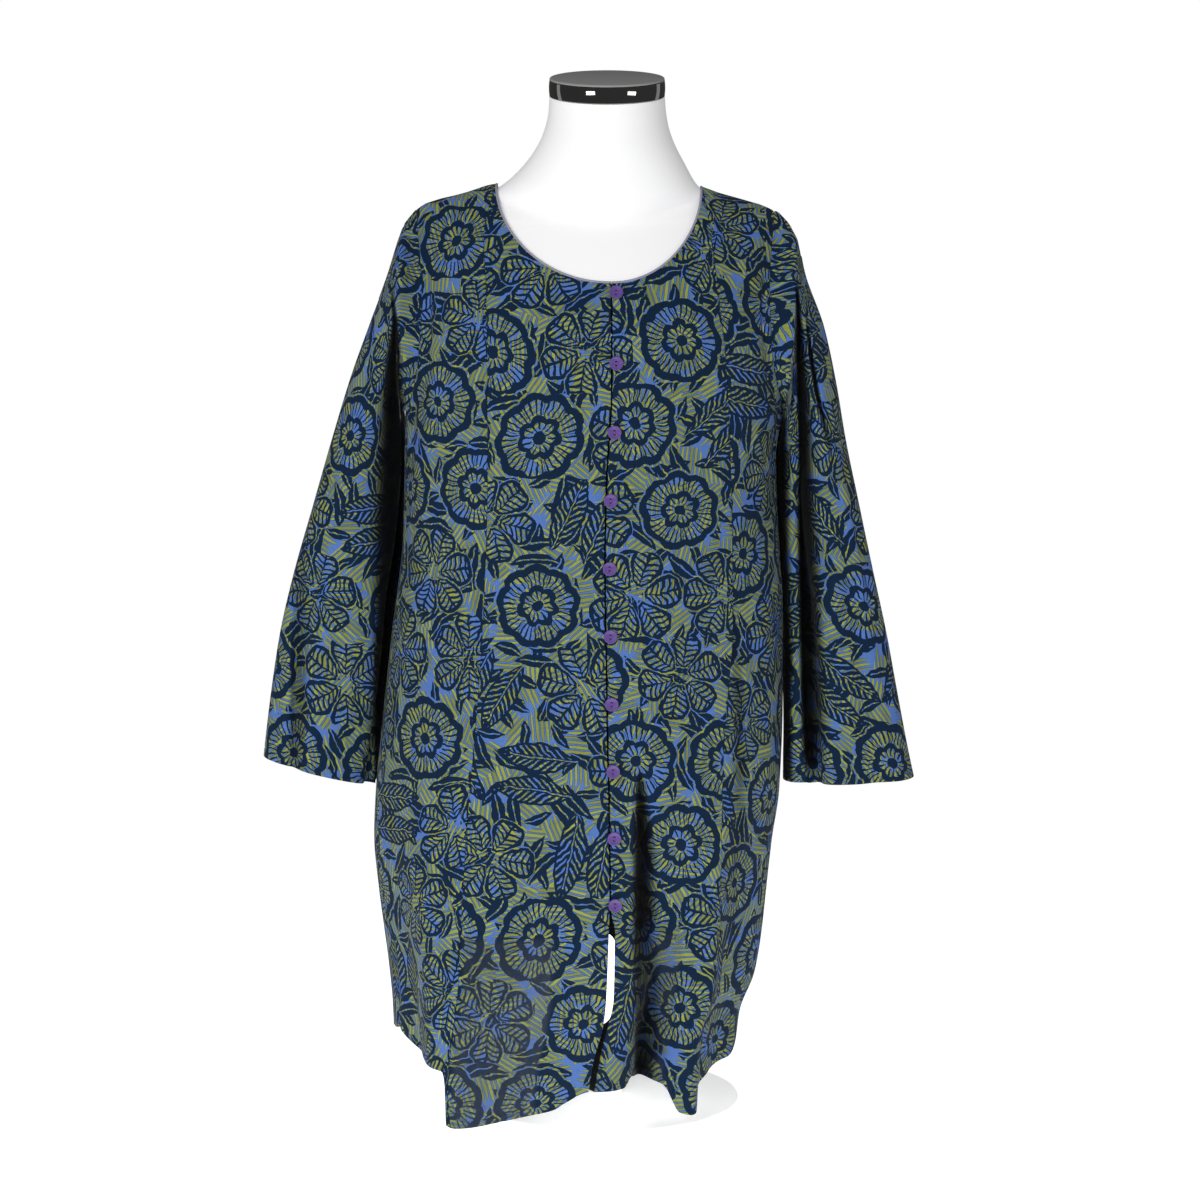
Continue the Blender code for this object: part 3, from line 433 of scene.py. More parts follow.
def angle_at(x, height, back=False):
    """The angle whose point has this x at this height, on the front or on the back."""
    share = min(max((x - centre_x(height)) / half_width(height), -1.0), 1.0)
    turn = math.degrees(math.asin(bent(share, SECTION_POWER / 2)))
    if not back:
        return turn
    return math.copysign(180.0, turn) - turn


def body_normal(angle, height):
    """The outward direction of the cloth at a place on the body."""
    da, dz = 0.4, 1.5
    top = ridge_height(body_point(angle, height)[0])
    high = min(height + dz, max(top - 0.4, height - dz))
    low = min(height, high) - dz
    a = np.array(body_point(angle - da, min(height, high)))
    b = np.array(body_point(angle + da, min(height, high)))
    c = np.array(body_point(angle, low))
    d = np.array(body_point(angle, high))
    normal = np.cross(b - a, d - c)
    if top - height < 2.0:
        normal = np.array((0.0, 0.0, 1.0)) + 0.02 * normal / np.linalg.norm(normal)
    return normal / np.linalg.norm(normal)


# ==== the scene's own sizes
TURNED_SIDES = 144
PART_GAP = 0.3             # between the stand's, form's and neck's parts
SHARP = math.radians(50)   # edges of turned pieces sharper than this stay sharp
STITCH_PITCH, STITCH_LENGTH, STITCH_RADIUS, STITCH_SIDES = 2.6, 1.8, 0.16, 5
# A stitch: place along its length, lift and share of its radius.
STITCH_SHAPE = ((-0.5, -0.28, 0.35), (-0.42, 0.05, 0.9), (0, 0.16, 1.0), (0.42, 0.05, 0.9),
                (0.5, -0.28, 0.35))
BINDING_SIDES, BINDING_POWER = 14, 0.75
PATCH = 27.0               # about the size of a patch of strokes
STROKE_PITCH = 4.4
MOTIF_WOBBLE, STROKE_WOBBLE = 6.0, 1.8
GROUND_BLUE, NAVY = (0.082, 0.168, 0.440), (0.0048, 0.0170, 0.044)
STROKE_EDGE = 0.042, 0.086, 0.094
OLIVE_DARK, OLIVE_LIGHT = (0.180, 0.205, 0.056), (0.295, 0.325, 0.072)
AMBIENT = 0.38             # strength of the white surroundings as light
MIRRORED = 0.05            # and as seen in mirrors
# Softboxes: azimuth and elevation, distance, width and height (m), power (W), height of the point
# that they face (m), and whether mirrors show them.
LIGHTS = {
    "softbox_left": (-21, 12, 2.6, 1.0, 2.0, 37, 0.6, False),
    "softbox_right": (50, 12, 2.8, 1.0, 2.0, 4.5, 0.6, False),
    "glint_left": (-33, -9, 2.6, 0.80, 0.34, 3.2, 0.95, True),
    "glint_right": (50, -9, 2.8, 0.86, 0.34, 3.2, 0.95, True),
    "streak_left": (-112, 0, 2.6, 0.50, 1.6, 0.9, 0.95, True),
    "streak_right": (122, 0, 2.6, 0.60, 1.6, 0.9, 0.95, True),
}
FLOOR_RADIUS = 1700
FLOOR_FADE = 0.35, 1.6     # metres from the middle over which the floor fades out
CAMERA_AIM, CAMERA_DISTANCE = (-0.0075, 0, 0.48436), 3.3     # metres
CAMERA_TILT, LENS = math.radians(8), 105.32
# white emission, for painted glow on parts that are no lamps
GLOW = {"Emission_Color": (1, 1, 1, 1)}
# Plain materials: colour, scale of its variation, how far it varies, unevenness and other values.
PLAIN = {
    "button_resin": ((0.118, 0.066, 0.262), 260, 0.16, 0.05,
                     {"Roughness": 0.30, "Coat_Weight": 0.25, "Coat_Roughness": 0.2}),
    "button_thread": ((0.150, 0.095, 0.290), 900, 0.3, 0.2, {"Roughness": 0.8}),
    "sewing_thread": ((0.020, 0.038, 0.085), 900, 0.3, 0.2, {"Roughness": 0.75}),
    "binding_cotton": ((0.31, 0.31, 0.38), 700, 0.22, 0.5, {"Roughness": 0.9}),
    # painted glow: the form's white emits light of its own, to read brighter
    "form_white": ((0.90, 0.90, 0.91), 9, 0.015, 0.04,
                   {"Roughness": 0.5, **GLOW, "Emission_Strength": 0.11}),
    "band_chrome": ((0.46, 0.45, 0.44), 14, 0.12, 0.0, {"Roughness": 0.05, "Metallic": 1.0}),
    "cap_grey": ((0.30, 0.30, 0.305), 60, 0.10, 0.10, {"Roughness": 0.55}),
    # painted glow: the base plate and pole emit light of their own, to merge with the floor
    "stand_white": ((0.90, 0.90, 0.90), 40, 0.02, 0.08,
                    {"Roughness": 0.6, **GLOW, "Emission_Strength": 0.35}),
}
STRETCH = {"cap_grey": (1, 8, 1)}     # streaks of the cap's finish
CLOTH = 0.5                # real thickness of the cotton
HEM_TURN = 8.0             # depth of the narrow turned hems
HEM_CLOTH = 1.1            # thickness of cloth where a hem or facing doubles it
FACING = 34.0              # width of the facings beside the opening
SEAM_DEPTH = 1.5           # how far a seam's turned-in edges go below the surface
SEAM_ROLL = 0.35           # how far the surface sinks along a seam
SEAM_CALM = 8.0            # creases die out this close to a seam
# The left front's edge dips under the right front's in three lines: how far out and how deep each
# lies where the edge is held, and where its facing turns back, and its place on the print.
TUCK_LINES = (9.0, 2.3, 11.0, 20.0), (3.0, 2.3, 6.0, 8.0), (-0.4, 2.3 - 0.4, 1.2, 1.0)
TUCK_OFFSETS = -9.0, -3.0, -0.8
TUCK_LOW, TUCK_HIGH = 187.0, 199.0     # the fronts part below here
TURN_LOW, TURN_HIGH = 97.0, 117.0       # and the left one's facing turns back below here
SHEER_TOP = 196.0          # light comes through the cloth below the form
SHEER_TO = {"centre_front_right": 114.0, "centre_front_left": 70.0}     # distance from the opening
LAST_BACK = 2 * SHOULDER_COLUMNS + NECK_COLUMNS

# Creases of each piece: where each begins and ends, its depth (+ out) and half width. The ends are
# places across the panel and heights on the body, and turns from the outer edge in degrees and
# shares of the length on the sleeves.
CREASES = {
    "side_front_right": ((0.90, 800, 0.80, 700, -4.0, 7), (0.80, 700, 0.95, 600, -3.5, 8),
                         (0.55, 640, 0.70, 470, 1.8, 10)),
    "centre_front_right": ((0.72, 600, 0.45, 430, 1.3, 9), (0.30, 520, 0.50, 330, 1.4, 10),
                           (0.62, 330, 0.70, 120, 2.4, 10), (0.25, 260, 0.32, 60, -2.2, 8)),
    "centre_front_left": ((0.35, 600, 0.60, 430, 1.3, 9), (0.80, 470, 0.62, 300, -1.6, 9),
                          (0.50, 380, 0.42, 250, 1.6, 8)),
    "side_front_left": ((0.92, 790, 0.80, 690, -4.0, 7), (0.80, 690, 0.96, 560, -3.0, 8),
                        (0.40, 520, 0.55, 330, 2.0, 10), (0.30, 260, 0.45, 90, -3.0, 9)),
    "back": ((0.18, 640, 0.24, 420, 3.0, 12), (0.36, 620, 0.33, 380, -2.6, 11),
             (0.52, 560, 0.50, 330, 3.2, 13), (0.68, 640, 0.66, 400, -3.0, 11),
             (0.83, 620, 0.79, 390, 2.6, 12), (0.44, 320, 0.47, 90, 2.6, 10),
             (0.74, 300, 0.71, 80, -2.8, 10)),
    "sleeve_right": ((28, 0.60, 34, 1.00, -2.6, 7), (70, 0.30, 60, 0.62, 1.8, 11),
                     (105, 0.12, 96, 0.50, -2.4, 9), (300, 0.30, 310, 0.80, 2.2, 12),
                     (270, 0.15, 262, 0.55, -2.6, 10)),
    "sleeve_left": ((32, 0.45, 40, 0.95, -2.0, 8), (76, 0.20, 70, 0.60, 1.8, 11),
                    (118, 0.05, 122, 0.45, -2.6, 8), (300, 0.35, 306, 0.85, 2.2, 12),
                    (264, 0.10, 270, 0.50, -2.6, 10)),
}
PANEL_WIDTH = {"centre_front_right": 115.0, "centre_front_left": 108.0, "side_front_right": 75.0,
               "side_front_left": 62.0, "back": 470.0}

# Deep folds placed in the front view: at each height the fold's x, its depth, its half widths
# towards the wearer's right and left, and how much painted shade darkens its inside.
FRONT_FOLDS = {
    "centre_front_left": (
        ((345, 28.5, 0, 1.5, 2, 0.0), (334, 28.5, 3, 2.2, 3.5, 0.9), (305, 28.6, 6, 3.8, 8, 1.0),
         (285, 29, 8, 5.0, 11, 1.0), (238, 29, 11, 5.6, 13, 1.0), (200, 29, 13, 5.6, 14, 1.0),
         (186, 28.5, 13, 4.8, 12, 0.90), (170, 29, 13, 5.0, 15, 0.80), (113, 30, 13, 5.2, 17, 0.74),
         (77, 30, 12, 5.2, 17, 0.80), (62, 29.5, 10, 5.0, 13, 1.0), (48, 30, 9, 4.8, 11, 0.95),
         (34, 30, 6, 4.0, 9, 0.35), (15, 31, 4, 4.0, 9, 0.0)),
    ),
    "side_front_left": (
        ((520, 116, 0, 3, 3, 0.0), (462, 116, 2.5, 3, 5, 0.35), (407, 119, 3.5, 3, 6, 0.5),
         (333, 121, 3.0, 3, 6, 0.45), (250, 118, 1.5, 3, 6, 0.2), (200, 118, 0, 3, 6, 0.0)),
    ),
    "sleeve_right": (
        ((790, -199, 0, 1, 1, 0.0), (767, -197, 3, 1.6, 1.6, 0.85), (750, -195, 5, 2.6, 2.6, 1.0),
         (731, -195.6, 7, 4.6, 4.6, 1.0), (708, -197.4, 8, 7.0, 7.5, 1.0),
         (677, -199, 9, 9, 10, 1.0), (642, -200, 9, 10, 13, 1.0), (601, -201, 9, 12, 14, 1.0),
         (559, -202.5, 8, 12.5, 15, 1.0), (509, -204.5, 6, 11, 15, 1.0),
         (459, -209, 4, 8.5, 15, 1.0), (409, -213.5, 3, 6, 14, 1.0), (356, -217, 2, 4, 14, 1.0),
         (309, -217, 1, 3, 12, 0.95)),
        ((560, -284, 0, 5, 5, 0.0), (490, -289, 4, 4, 8, 0.35), (420, -292, 6, 4, 9, 0.5),
         (355, -294, 5, 4, 9, 0.45), (320, -295, 3, 4, 9, 0.3)),
    ),
    "sleeve_left": (
        ((800, 172, 0, 1, 1, 0.0), (773, 173, 4, 1.4, 2.0, 1.0), (740, 174.5, 8, 2.2, 4.5, 1.0),
         (717, 175, 10, 2.6, 6, 1.0), (682, 177, 11, 2.8, 7, 1.0), (643, 179, 12, 2.8, 8, 1.0),
         (594, 180, 12, 2.8, 9, 1.0), (560, 181, 12, 2.8, 10, 1.0), (511, 181.5, 12, 2.8, 13, 1.0),
         (461, 182.5, 12, 2.8, 14, 1.0), (411, 184, 12, 3.0, 14.5, 1.0),
         (361, 185.5, 10, 3.0, 14, 1.0), (335, 187, 7, 2.8, 12, 1.0), (318, 188, 2, 2, 8, 0.2)),
        ((765, 182, 0, 1, 1, 0.0), (741, 183, 2, 1.5, 1.5, 0.9), (713, 186.5, 3, 1.8, 2.2, 1.0),
         (678, 193, 3, 2.0, 2.6, 1.0), (658, 198, 3, 1.8, 2.2, 0.9), (634, 204, 1.5, 1.5, 1.8, 0.6),
         (610, 210, 0, 1, 1, 0.0)),
        ((668, 161, 0, 3, 2, 0.0), (656, 161, 2, 8, 4, 1.0), (617, 160, 4, 12, 8, 1.0),
         (558, 160, 4, 12, 8, 1.0), (508, 163, 4, 12, 6.5, 1.0), (458, 165, 3, 12, 5.5, 1.0),
         (418, 167, 3, 12, 6, 1.0), (388, 167, 2, 12, 4.5, 1.0), (316, 168, 1, 12, 5, 0.95)),
    ),
}
# The outline of the shoulders: distance from the garment's middle, and greatest height there.
SHOULDER_FALL = {
    -1: ((86, 882), (97.2, 875.0), (108.3, 870.0), (119.5, 866.1), (130.6, 863.1), (143.5, 860.8),
         (157.4, 855.6), (166.8, 848.6), (176.1, 837.4), (182.7, 821.8), (189.4, 801.5)),
    1: ((92, 880), (102.5, 870.8), (113.6, 866.0), (126.6, 862.5), (139.2, 859.0), (151.6, 855.5),
        (169.2, 847.9), (179.5, 836.9), (187.0, 822.6), (189.9, 807.0)),
}

# The cut of each cloth piece: width, length and area in metres, how it is held and by what.
SHEETS = {
    "centre_front_right": (0.178, 0.875, 0.098, "draped", ["dress_form"]),
    "centre_front_left": (0.200, 0.864, 0.099, "draped", ["dress_form"]),
    "side_front_right": (0.136, 0.905, 0.092, "draped", ["dress_form"]),
    "side_front_left": (0.120, 0.871, 0.075, "draped", ["dress_form"]),
    "back": (0.560, 0.859, 0.396, "draped", ["dress_form"]),
    "sleeve_right": (0.440, 0.540, 0.142, "hung", ["side_front_right", "back"]),
    "sleeve_left": (0.438, 0.554, 0.146, "hung", ["side_front_left", "back"]),
}

# Where each cloth piece lies on the printed length, so that the print breaks at the seams.
PRINT_PLACE = {"centre_front_right": (0, 0), "centre_front_left": (431, 67),
               "side_front_right": (868, 203), "side_front_left": (1207, 33),
               "back": (1900, 211), "sleeve_right": (2750, 97), "sleeve_left": (3411, 171)}


# ---- fine grids of the body
def row_at(rise):
    """The row, counted as in the tables, that has climbed this share above the underarm."""
    return LOW_ROWS + HIGH_ROWS * math.degrees(math.asin(min(rise, 1.0))) / 90


ROWS = [0, 0.02, 0.05, *(LOW_ROWS * i / 210 for i in range(1, 211)),
        *(row_at(i / 68) for i in range(1, 68)), row_at(0.9955), row_at(1.0)]


def climb(row):
    return math.sin(math.radians(90) * (row - LOW_ROWS) / HIGH_ROWS)


def low_height(panel, place, row):
    return mix(HEM_HEIGHT[panel](place), UNDERARM, row / LOW_ROWS)


def side_angle(side, height, towards_back):
    spread = SLIT_SPREAD * smoothstep((SLIT_TOP - height) / SLIT_TOP * 3)
    return SIDE_ANGLE[side] + side * (spread if towards_back else -spread)


def seam_shift(height):
    return math.degrees(SEAM_GAP / 2 / (half_width(height) * 0.9))


def neckline(side, place):
    start = OPENING_X[side](FRONT_NECK) + side * SEAM_GAP / 2
    end, top = side_neck(side)
    turn = math.radians(90) * place ** 1.05
    return (mix(start, end, math.sin(turn) ** 0.97),
            mix(FRONT_NECK, top, 1 - max(math.cos(turn), 0.0) ** 1.1))


def front_x(side, place, height):
    inner = OPENING_X[side](height) + side * SEAM_GAP / 2
    outer = PRINCESS_X[side](height) - side * SEAM_GAP / 2
    return mix(inner, outer, place)


def centre_front(side, panel, row, place):
    if row <= LOW_ROWS:
        height = low_height(panel, place, row)
        inner = angle_at(OPENING_X[side](height), height) + side * seam_shift(height)
        outer = angle_at(PRINCESS_X[side](height), height) - side * seam_shift(height)
        return mix(inner, outer, place), height
    x_top, z_top = neckline(side, place)
    height = mix(UNDERARM, z_top, climb(row))
    bend = x_top - side * SEAM_GAP / 2 * place - front_x(side, place, z_top)
    return angle_at(front_x(side, place, height) + bend * climb(row) ** 2, height), height


def side_front(side, panel, row, place):
    if row <= LOW_ROWS:
        spot = place ** (1 + 0.7 * smoothstep(1 - 2 * row / LOW_ROWS))
        height = low_height(panel, spot, row)
        inner = angle_at(PRINCESS_X[side](height), height) + side * seam_shift(height)
        outer = side_angle(side, height, False) - side * seam_shift(height)
        return mix(inner, outer, spot), height
    rise = climb(row)
    z_in = mix(UNDERARM, side_neck(side)[1], rise)
    z_out = mix(UNDERARM, SHOULDER_TIP, rise)
    inner = angle_at(PRINCESS_X[side](z_in), z_in) + side * seam_shift(z_in)
    outer = ARMHOLE_ANGLE[side, "front"](rise) - side * seam_shift(z_out)
    angle = mix(inner, outer, place)
    height = mix(z_in, z_out, place)
    x = body_point(angle, height)[0]
    return angle, mix(height, mix(UNDERARM, ridge_height(x), rise), rise ** 2)


def back(panel, row, place):
    if row <= LOW_ROWS:
        height = low_height(panel, place, row)
        left = side_angle(1, height, True) + seam_shift(height)
        right = side_angle(-1, height, True) - seam_shift(height)
        return mix(left, right + 360, place), height
    rise = climb(row)
    column = place * LAST_BACK
    z_tip = mix(UNDERARM, SHOULDER_TIP, rise)
    left = ARMHOLE_ANGLE[1, "back"](rise) + seam_shift(z_tip)
    right = ARMHOLE_ANGLE[-1, "back"](rise) - seam_shift(z_tip) + 360
    if column < SHOULDER_COLUMNS or column > LAST_BACK - SHOULDER_COLUMNS:
        side = 1 if column < SHOULDER_COLUMNS else -1
        steps = column if side == 1 else LAST_BACK - column
        top_angle, top = shoulder_place(side, 1 - steps / SHOULDER_COLUMNS)
    else:
        share = (column - SHOULDER_COLUMNS) / NECK_COLUMNS
        x_left, z_left = side_neck(1)
        x_right, z_right = side_neck(-1)
        x = mix(x_left, x_right, 0.5 - 0.5 * math.cos(math.pi * share))
        dip = max(math.sin(math.pi * share), 0.0) ** 0.8
        top = mix(mix(z_left, z_right, share), BACK_NECK, dip)
        top_angle = angle_at(x, top, back=True) % 360
    return mix(mix(left, right, place), top_angle, rise ** 2), mix(UNDERARM, top, rise)


def shoulder_place(side, share):
    inner = angle_at(*side_neck(side)) + side * seam_shift(NECK_SEAM)
    outer = ARMHOLE_ANGLE[side, "front"](1.0) - side * seam_shift(SHOULDER_TIP)
    angle = mix(inner, outer, share)
    x = body_point(angle, mix(side_neck(side)[1], SHOULDER_TIP, share))[0]
    height = ridge_height(x)
    return angle_at(x, height, back=True) % 360, height


def smooth_array(values):
    values = np.clip(values, 0, 1)
    return values * values * (3 - 2 * values)


def unit(vectors):
    return vectors / np.maximum(np.linalg.norm(vectors, axis=-1, keepdims=True), 1e-9)


def outward(points, closed=False):
    """Outward directions of a grid whose columns run anticlockwise and whose rows run upwards."""
    if closed:
        across = np.roll(points, -1, axis=1) - np.roll(points, 1, axis=1)
    else:
        across = np.gradient(points, axis=1)
    return unit(np.cross(unit(across), unit(np.gradient(points, axis=0))))


def crease_push(name, x, y, x_scale=1, y_scale=1):
    """Push of a piece's soft creases, each fading towards its ends."""
    push = np.zeros(np.broadcast_shapes(x.shape, y.shape))
    for from_x, from_y, to_x, to_y, depth, width in CREASES[name]:
        x0, y0 = from_x * x_scale, from_y * y_scale
        dx, dy = to_x * x_scale - x0, to_y * y_scale - y0
        t = ((x - x0) * dx + (y - y0) * dy) / (dx * dx + dy * dy)
        inside = np.clip(t, 0, 1)
        away = np.hypot(x - x0 - inside * dx, y - y0 - inside * dy)
        fade = np.sin(np.pi * np.clip((t + 0.12) / 1.24, 0, 1)) ** 0.8
        push += depth * fade * np.exp(-(away / width) ** 2)
    return push


def hem_line(outer, normals, above_hem):
    """Sinks the surface a little along the stitches of the turned hem."""
    return outer - normals * (0.25 * np.exp(-((above_hem - HEM_TURN + 1) / 1.3) ** 2))[..., None]


def shoulder_fall(points):
    """Rounds the shoulders' ends off to their outline."""
    points = points.copy()
    for side, rows in SHOULDER_FALL.items():
        away, top = np.array(rows).T
        distance = side * (points[..., 0] - CLOTH_CENTRE)
        limit = np.interp(distance, away, top)
        over = np.clip((points[..., 2] - limit) / 1.2, -30, 30)
        lowered = limit - 1.2 * np.log1p(np.exp(-over))
        near = (distance > away[0]) & (points[..., 2] > top[-1])
        points[..., 2] = np.where(near, np.minimum(points[..., 2], lowered), points[..., 2])
    return points


def front_folds(name, points, normals):
    """Presses the deep folds into the front, and marks the painted shade that darkens their
    insides.
    """
    points = points.copy()
    dark = np.zeros(points.shape[:2])
    facing = np.clip((0.25 - normals[..., 1]) / 0.5, 0, 1)
    for rows in FRONT_FOLDS.get(name, ()):
        heights, middle, depth, right, left, shade = np.array(rows[::-1]).T
        at = points[..., 2]
        off = points[..., 0] - np.interp(at, heights, middle)
        width = np.where(off < 0, np.interp(at, heights, right), np.interp(at, heights, left))
        near = np.exp(-(off / width) ** 2) * facing
        points[..., 1] += np.interp(at, heights, depth, 0, 0) * near
        dark = np.maximum(dark, np.interp(at, heights, shade, 0, shade[-1])
                          * np.exp(-np.abs(off / (1.12 * width)) ** 5) * facing)
    return points, dark


def arc_map(points, grain):
    """Flat coordinates in mm: across along the rows, and up along the columns from the hem."""
    steps = np.diff(points, axis=1)
    u = np.zeros(points.shape[:2])
    u[:, 1:] = np.cumsum(np.hypot(steps[..., 0], steps[..., 1]), axis=1)
    u -= u[:, grain:grain + 1]
    level = np.gradient(points, axis=1)
    level[..., 2] = 0
    level = unit(level)
    climbed = np.diff(points, axis=0)
    drift = (climbed * level[:-1]).sum(-1)
    u[1:] += np.cumsum(drift[:, grain])[:, None]
    v = np.array(points[..., 2])
    v[1:] = v[0] + np.cumsum(np.sqrt(np.maximum((climbed ** 2).sum(-1) - drift ** 2, 0)), axis=0)
    return np.stack((u, v), -1)


# ---- meshes
def circle(sides):
    """Sine and cosine of the even turns round a circle."""
    return [(math.sin(2 * math.pi * k / sides), math.cos(2 * math.pi * k / sides))
            for k in range(sides)]


def tube_faces(rings, sides, base=0):
    """The sides and both ends of a closed tube, whose points run ring by ring from a base."""
    faces = []
    for start in range(base, base + (rings - 1) * sides, sides):
        for k in range(sides):
            n = (k + 1) % sides
            faces.append((start + k, start + n, start + sides + n, start + sides + k))
    last = base + (rings - 1) * sides
    return faces + [tuple(range(base, base + sides))[::-1], tuple(range(last, last + sides))]


def mesh_piece(name, points, faces, finish, uv=None, marks=None, smooth=True):
    """A mesh object in metres. uv has one pair for each corner, marks one number for each point."""
    mesh = bpy.data.meshes.new(name)
    mesh.from_pydata((np.asarray(points, float) * METRE).tolist(), [],
                     faces.tolist() if hasattr(faces, "tolist") else faces)
    if smooth:
        mesh.shade_smooth()
    if uv is not None:
        mesh.uv_layers.new(name="cloth").data.foreach_set("uv", uv.astype(np.float32).ravel())
    for key, values in (marks or {}).items():
        layer = mesh.attributes.new(key, "FLOAT", "POINT")
        layer.data.foreach_set("value", np.asarray(values, np.float32).ravel())
    made = bpy.data.objects.new(name, mesh)
    bpy.context.scene.collection.objects.link(made)
    made.data.materials.append(finish)
    return made


Panel = namedtuple("Panel", "name outer normals thick flat sheer dark heights")


def shell(panel, finish, closed):
    """A closed thin shell of cloth: outer grid, inner grid and the rim between them."""
    outer, flat = panel.outer, panel.flat
    rows, columns = outer.shape[:2]
    inner = outer - panel.normals * panel.thick[..., None]
    points = np.concatenate((outer.reshape(-1, 3), inner.reshape(-1, 3)))
    layer = rows * columns
    if closed:
        flat = np.concatenate((flat, 2 * flat[:, -1:] - flat[:, -2:-1]), axis=1)
    spans = columns if closed else columns - 1

    def corners(rs, cs, inside):
        index = [r * columns + c % columns + layer * k for r, c, k in zip(rs, cs, inside)]
        return np.stack(index, -1), np.stack([flat[r, c] for r, c in zip(rs, cs)], 1)

    i, j = (each.ravel() for each in np.meshgrid(np.arange(rows - 1), np.arange(spans),
                                                 indexing="ij"))
    rim = (0, 0, 1, 1)
    parts = [corners((i, i, i + 1, i + 1), (j, j + 1, j + 1, j), (0,) * 4),
             corners((i, i + 1, i + 1, i), (j, j, j + 1, j + 1), (1,) * 4)]
    j = np.arange(spans)
    parts.append(corners((np.zeros_like(j),) * 4, (j + 1, j, j, j + 1), rim))
    parts.append(corners((np.full_like(j, rows - 1),) * 4, (j, j + 1, j + 1, j), rim))
    if not closed:
        i = np.arange(rows - 1)
        parts.append(corners((i, i + 1, i + 1, i), (np.zeros_like(i),) * 4, rim))
        parts.append(corners((i + 1, i, i, i + 1), (np.full_like(i, columns - 1),) * 4, rim))
    faces, uv = (np.concatenate(each) for each in zip(*parts))
    uv = (uv.reshape(-1, 2) + np.array(PRINT_PLACE[panel.name])) * METRE
    # the 'depth' mark carries the painted shade of the deep folds, not a depth
    marks = {"sheer": np.tile(panel.sheer.ravel(), 2), "depth": np.tile(panel.dark.ravel(), 2),
             "reverse": np.repeat((0.0, 1.0), layer)}
    return mesh_piece(f"{panel.name}_cloth", points, faces, finish, uv, marks)


def places_across(count, width):
    """Even places across a panel, with closer ones beside its edges."""
    near = 0.9 / width
    return [0, near, *(i / count for i in range(1, count)), 1 - near, 1]


def body_panel(name, spot, side, columns):
    """One panel of the body, with creases, deep folds and its turned hem and facing."""
    width = PANEL_WIDTH[name]
    across = places_across(columns, width)
    grid = [[spot(row, place) for place in across] for row in ROWS]
    heights = np.array([[place[1] for place in line] for line in grid])
    outer = np.array([[body_point(*place) for place in line] for line in grid])
    places = np.broadcast_to(np.array(across), heights.shape)
    if side == -1:
        outer, heights, places = outer[:, ::-1], heights[:, ::-1], places[:, ::-1]
    normals = outward(outer)
    push = crease_push(name, places * width, heights, x_scale=width)
    calm = np.minimum(np.minimum(places, 1 - places) * width / SEAM_CALM, 1)
    outer = shoulder_fall(outer + normals * (push * calm)[..., None])
    flat = arc_map(outer, outer.shape[1] // 2)
    # the deep folds' painted shade comes back with them
    outer, dark = front_folds(name, outer, normals)
    normals = outward(outer)
    above_hem = flat[..., 1] - flat[:1, :, 1]
    thick = np.where(above_hem < HEM_TURN, HEM_CLOTH, CLOTH)
    free = np.clip((SHEER_TOP - heights) / 12, 0, 1)
    sheer = free * 0.12
    if name in SHEER_TO:
        from_opening = places * width
        thick = np.where(from_opening < FACING, HEM_CLOTH, thick)
        single = np.clip((from_opening - FACING) / 4, 0, 1)
        single *= np.clip((SHEER_TO[name] - from_opening) / 5, 0, 1)
        sheer = free * (0.15 + 0.85 * single)
    sheer = sheer * (1 - 0.85 * np.minimum(dark / 0.8, 1))
    return Panel(name, hem_line(outer, normals, above_hem), normals, thick, flat, sheer, dark,
                 heights)


def grow(values, axis, end):
    """Repeats the first or last line of an array, to go with an added edge."""
    line = values.take([-1 if end else 0], axis)
    return np.concatenate((values, line) if end else (line, values), axis)


def add_seam(panel, axis, end):
    """Turns in the edge at one end of a panel, closing the seam's gap below the surface."""
    outer, normals = (np.moveaxis(each, axis, 0)[::-1 if end else 1]
                      for each in (panel.outer, panel.normals))
    outer = outer.copy()
    outward_way = unit(outer[0] - outer[2])
    outer[1] -= normals[1] * SEAM_ROLL * 0.35
    edge = outer[0] + outward_way * (SEAM_GAP / 2 + 0.01) - normals[0] * SEAM_DEPTH
    outer[0] -= normals[0] * SEAM_ROLL
    outer = np.concatenate((edge[None], outer))
    normals = np.concatenate((normals[:1], normals))
    outer, normals = (np.moveaxis(each[::-1 if end else 1], 0, axis) for each in (outer, normals))
    flat = grow(panel.flat, axis, end)
    last = -1 if end else 0
    flat[(slice(None), last, 0) if axis else (last, slice(None), 1)] += (
        SEAM_DEPTH if end else -SEAM_DEPTH)
    grown = {key: grow(getattr(panel, key), axis, end)
             for key in ("thick", "sheer", "dark", "heights")}
    return panel._replace(outer=outer, normals=normals, flat=flat, **grown)


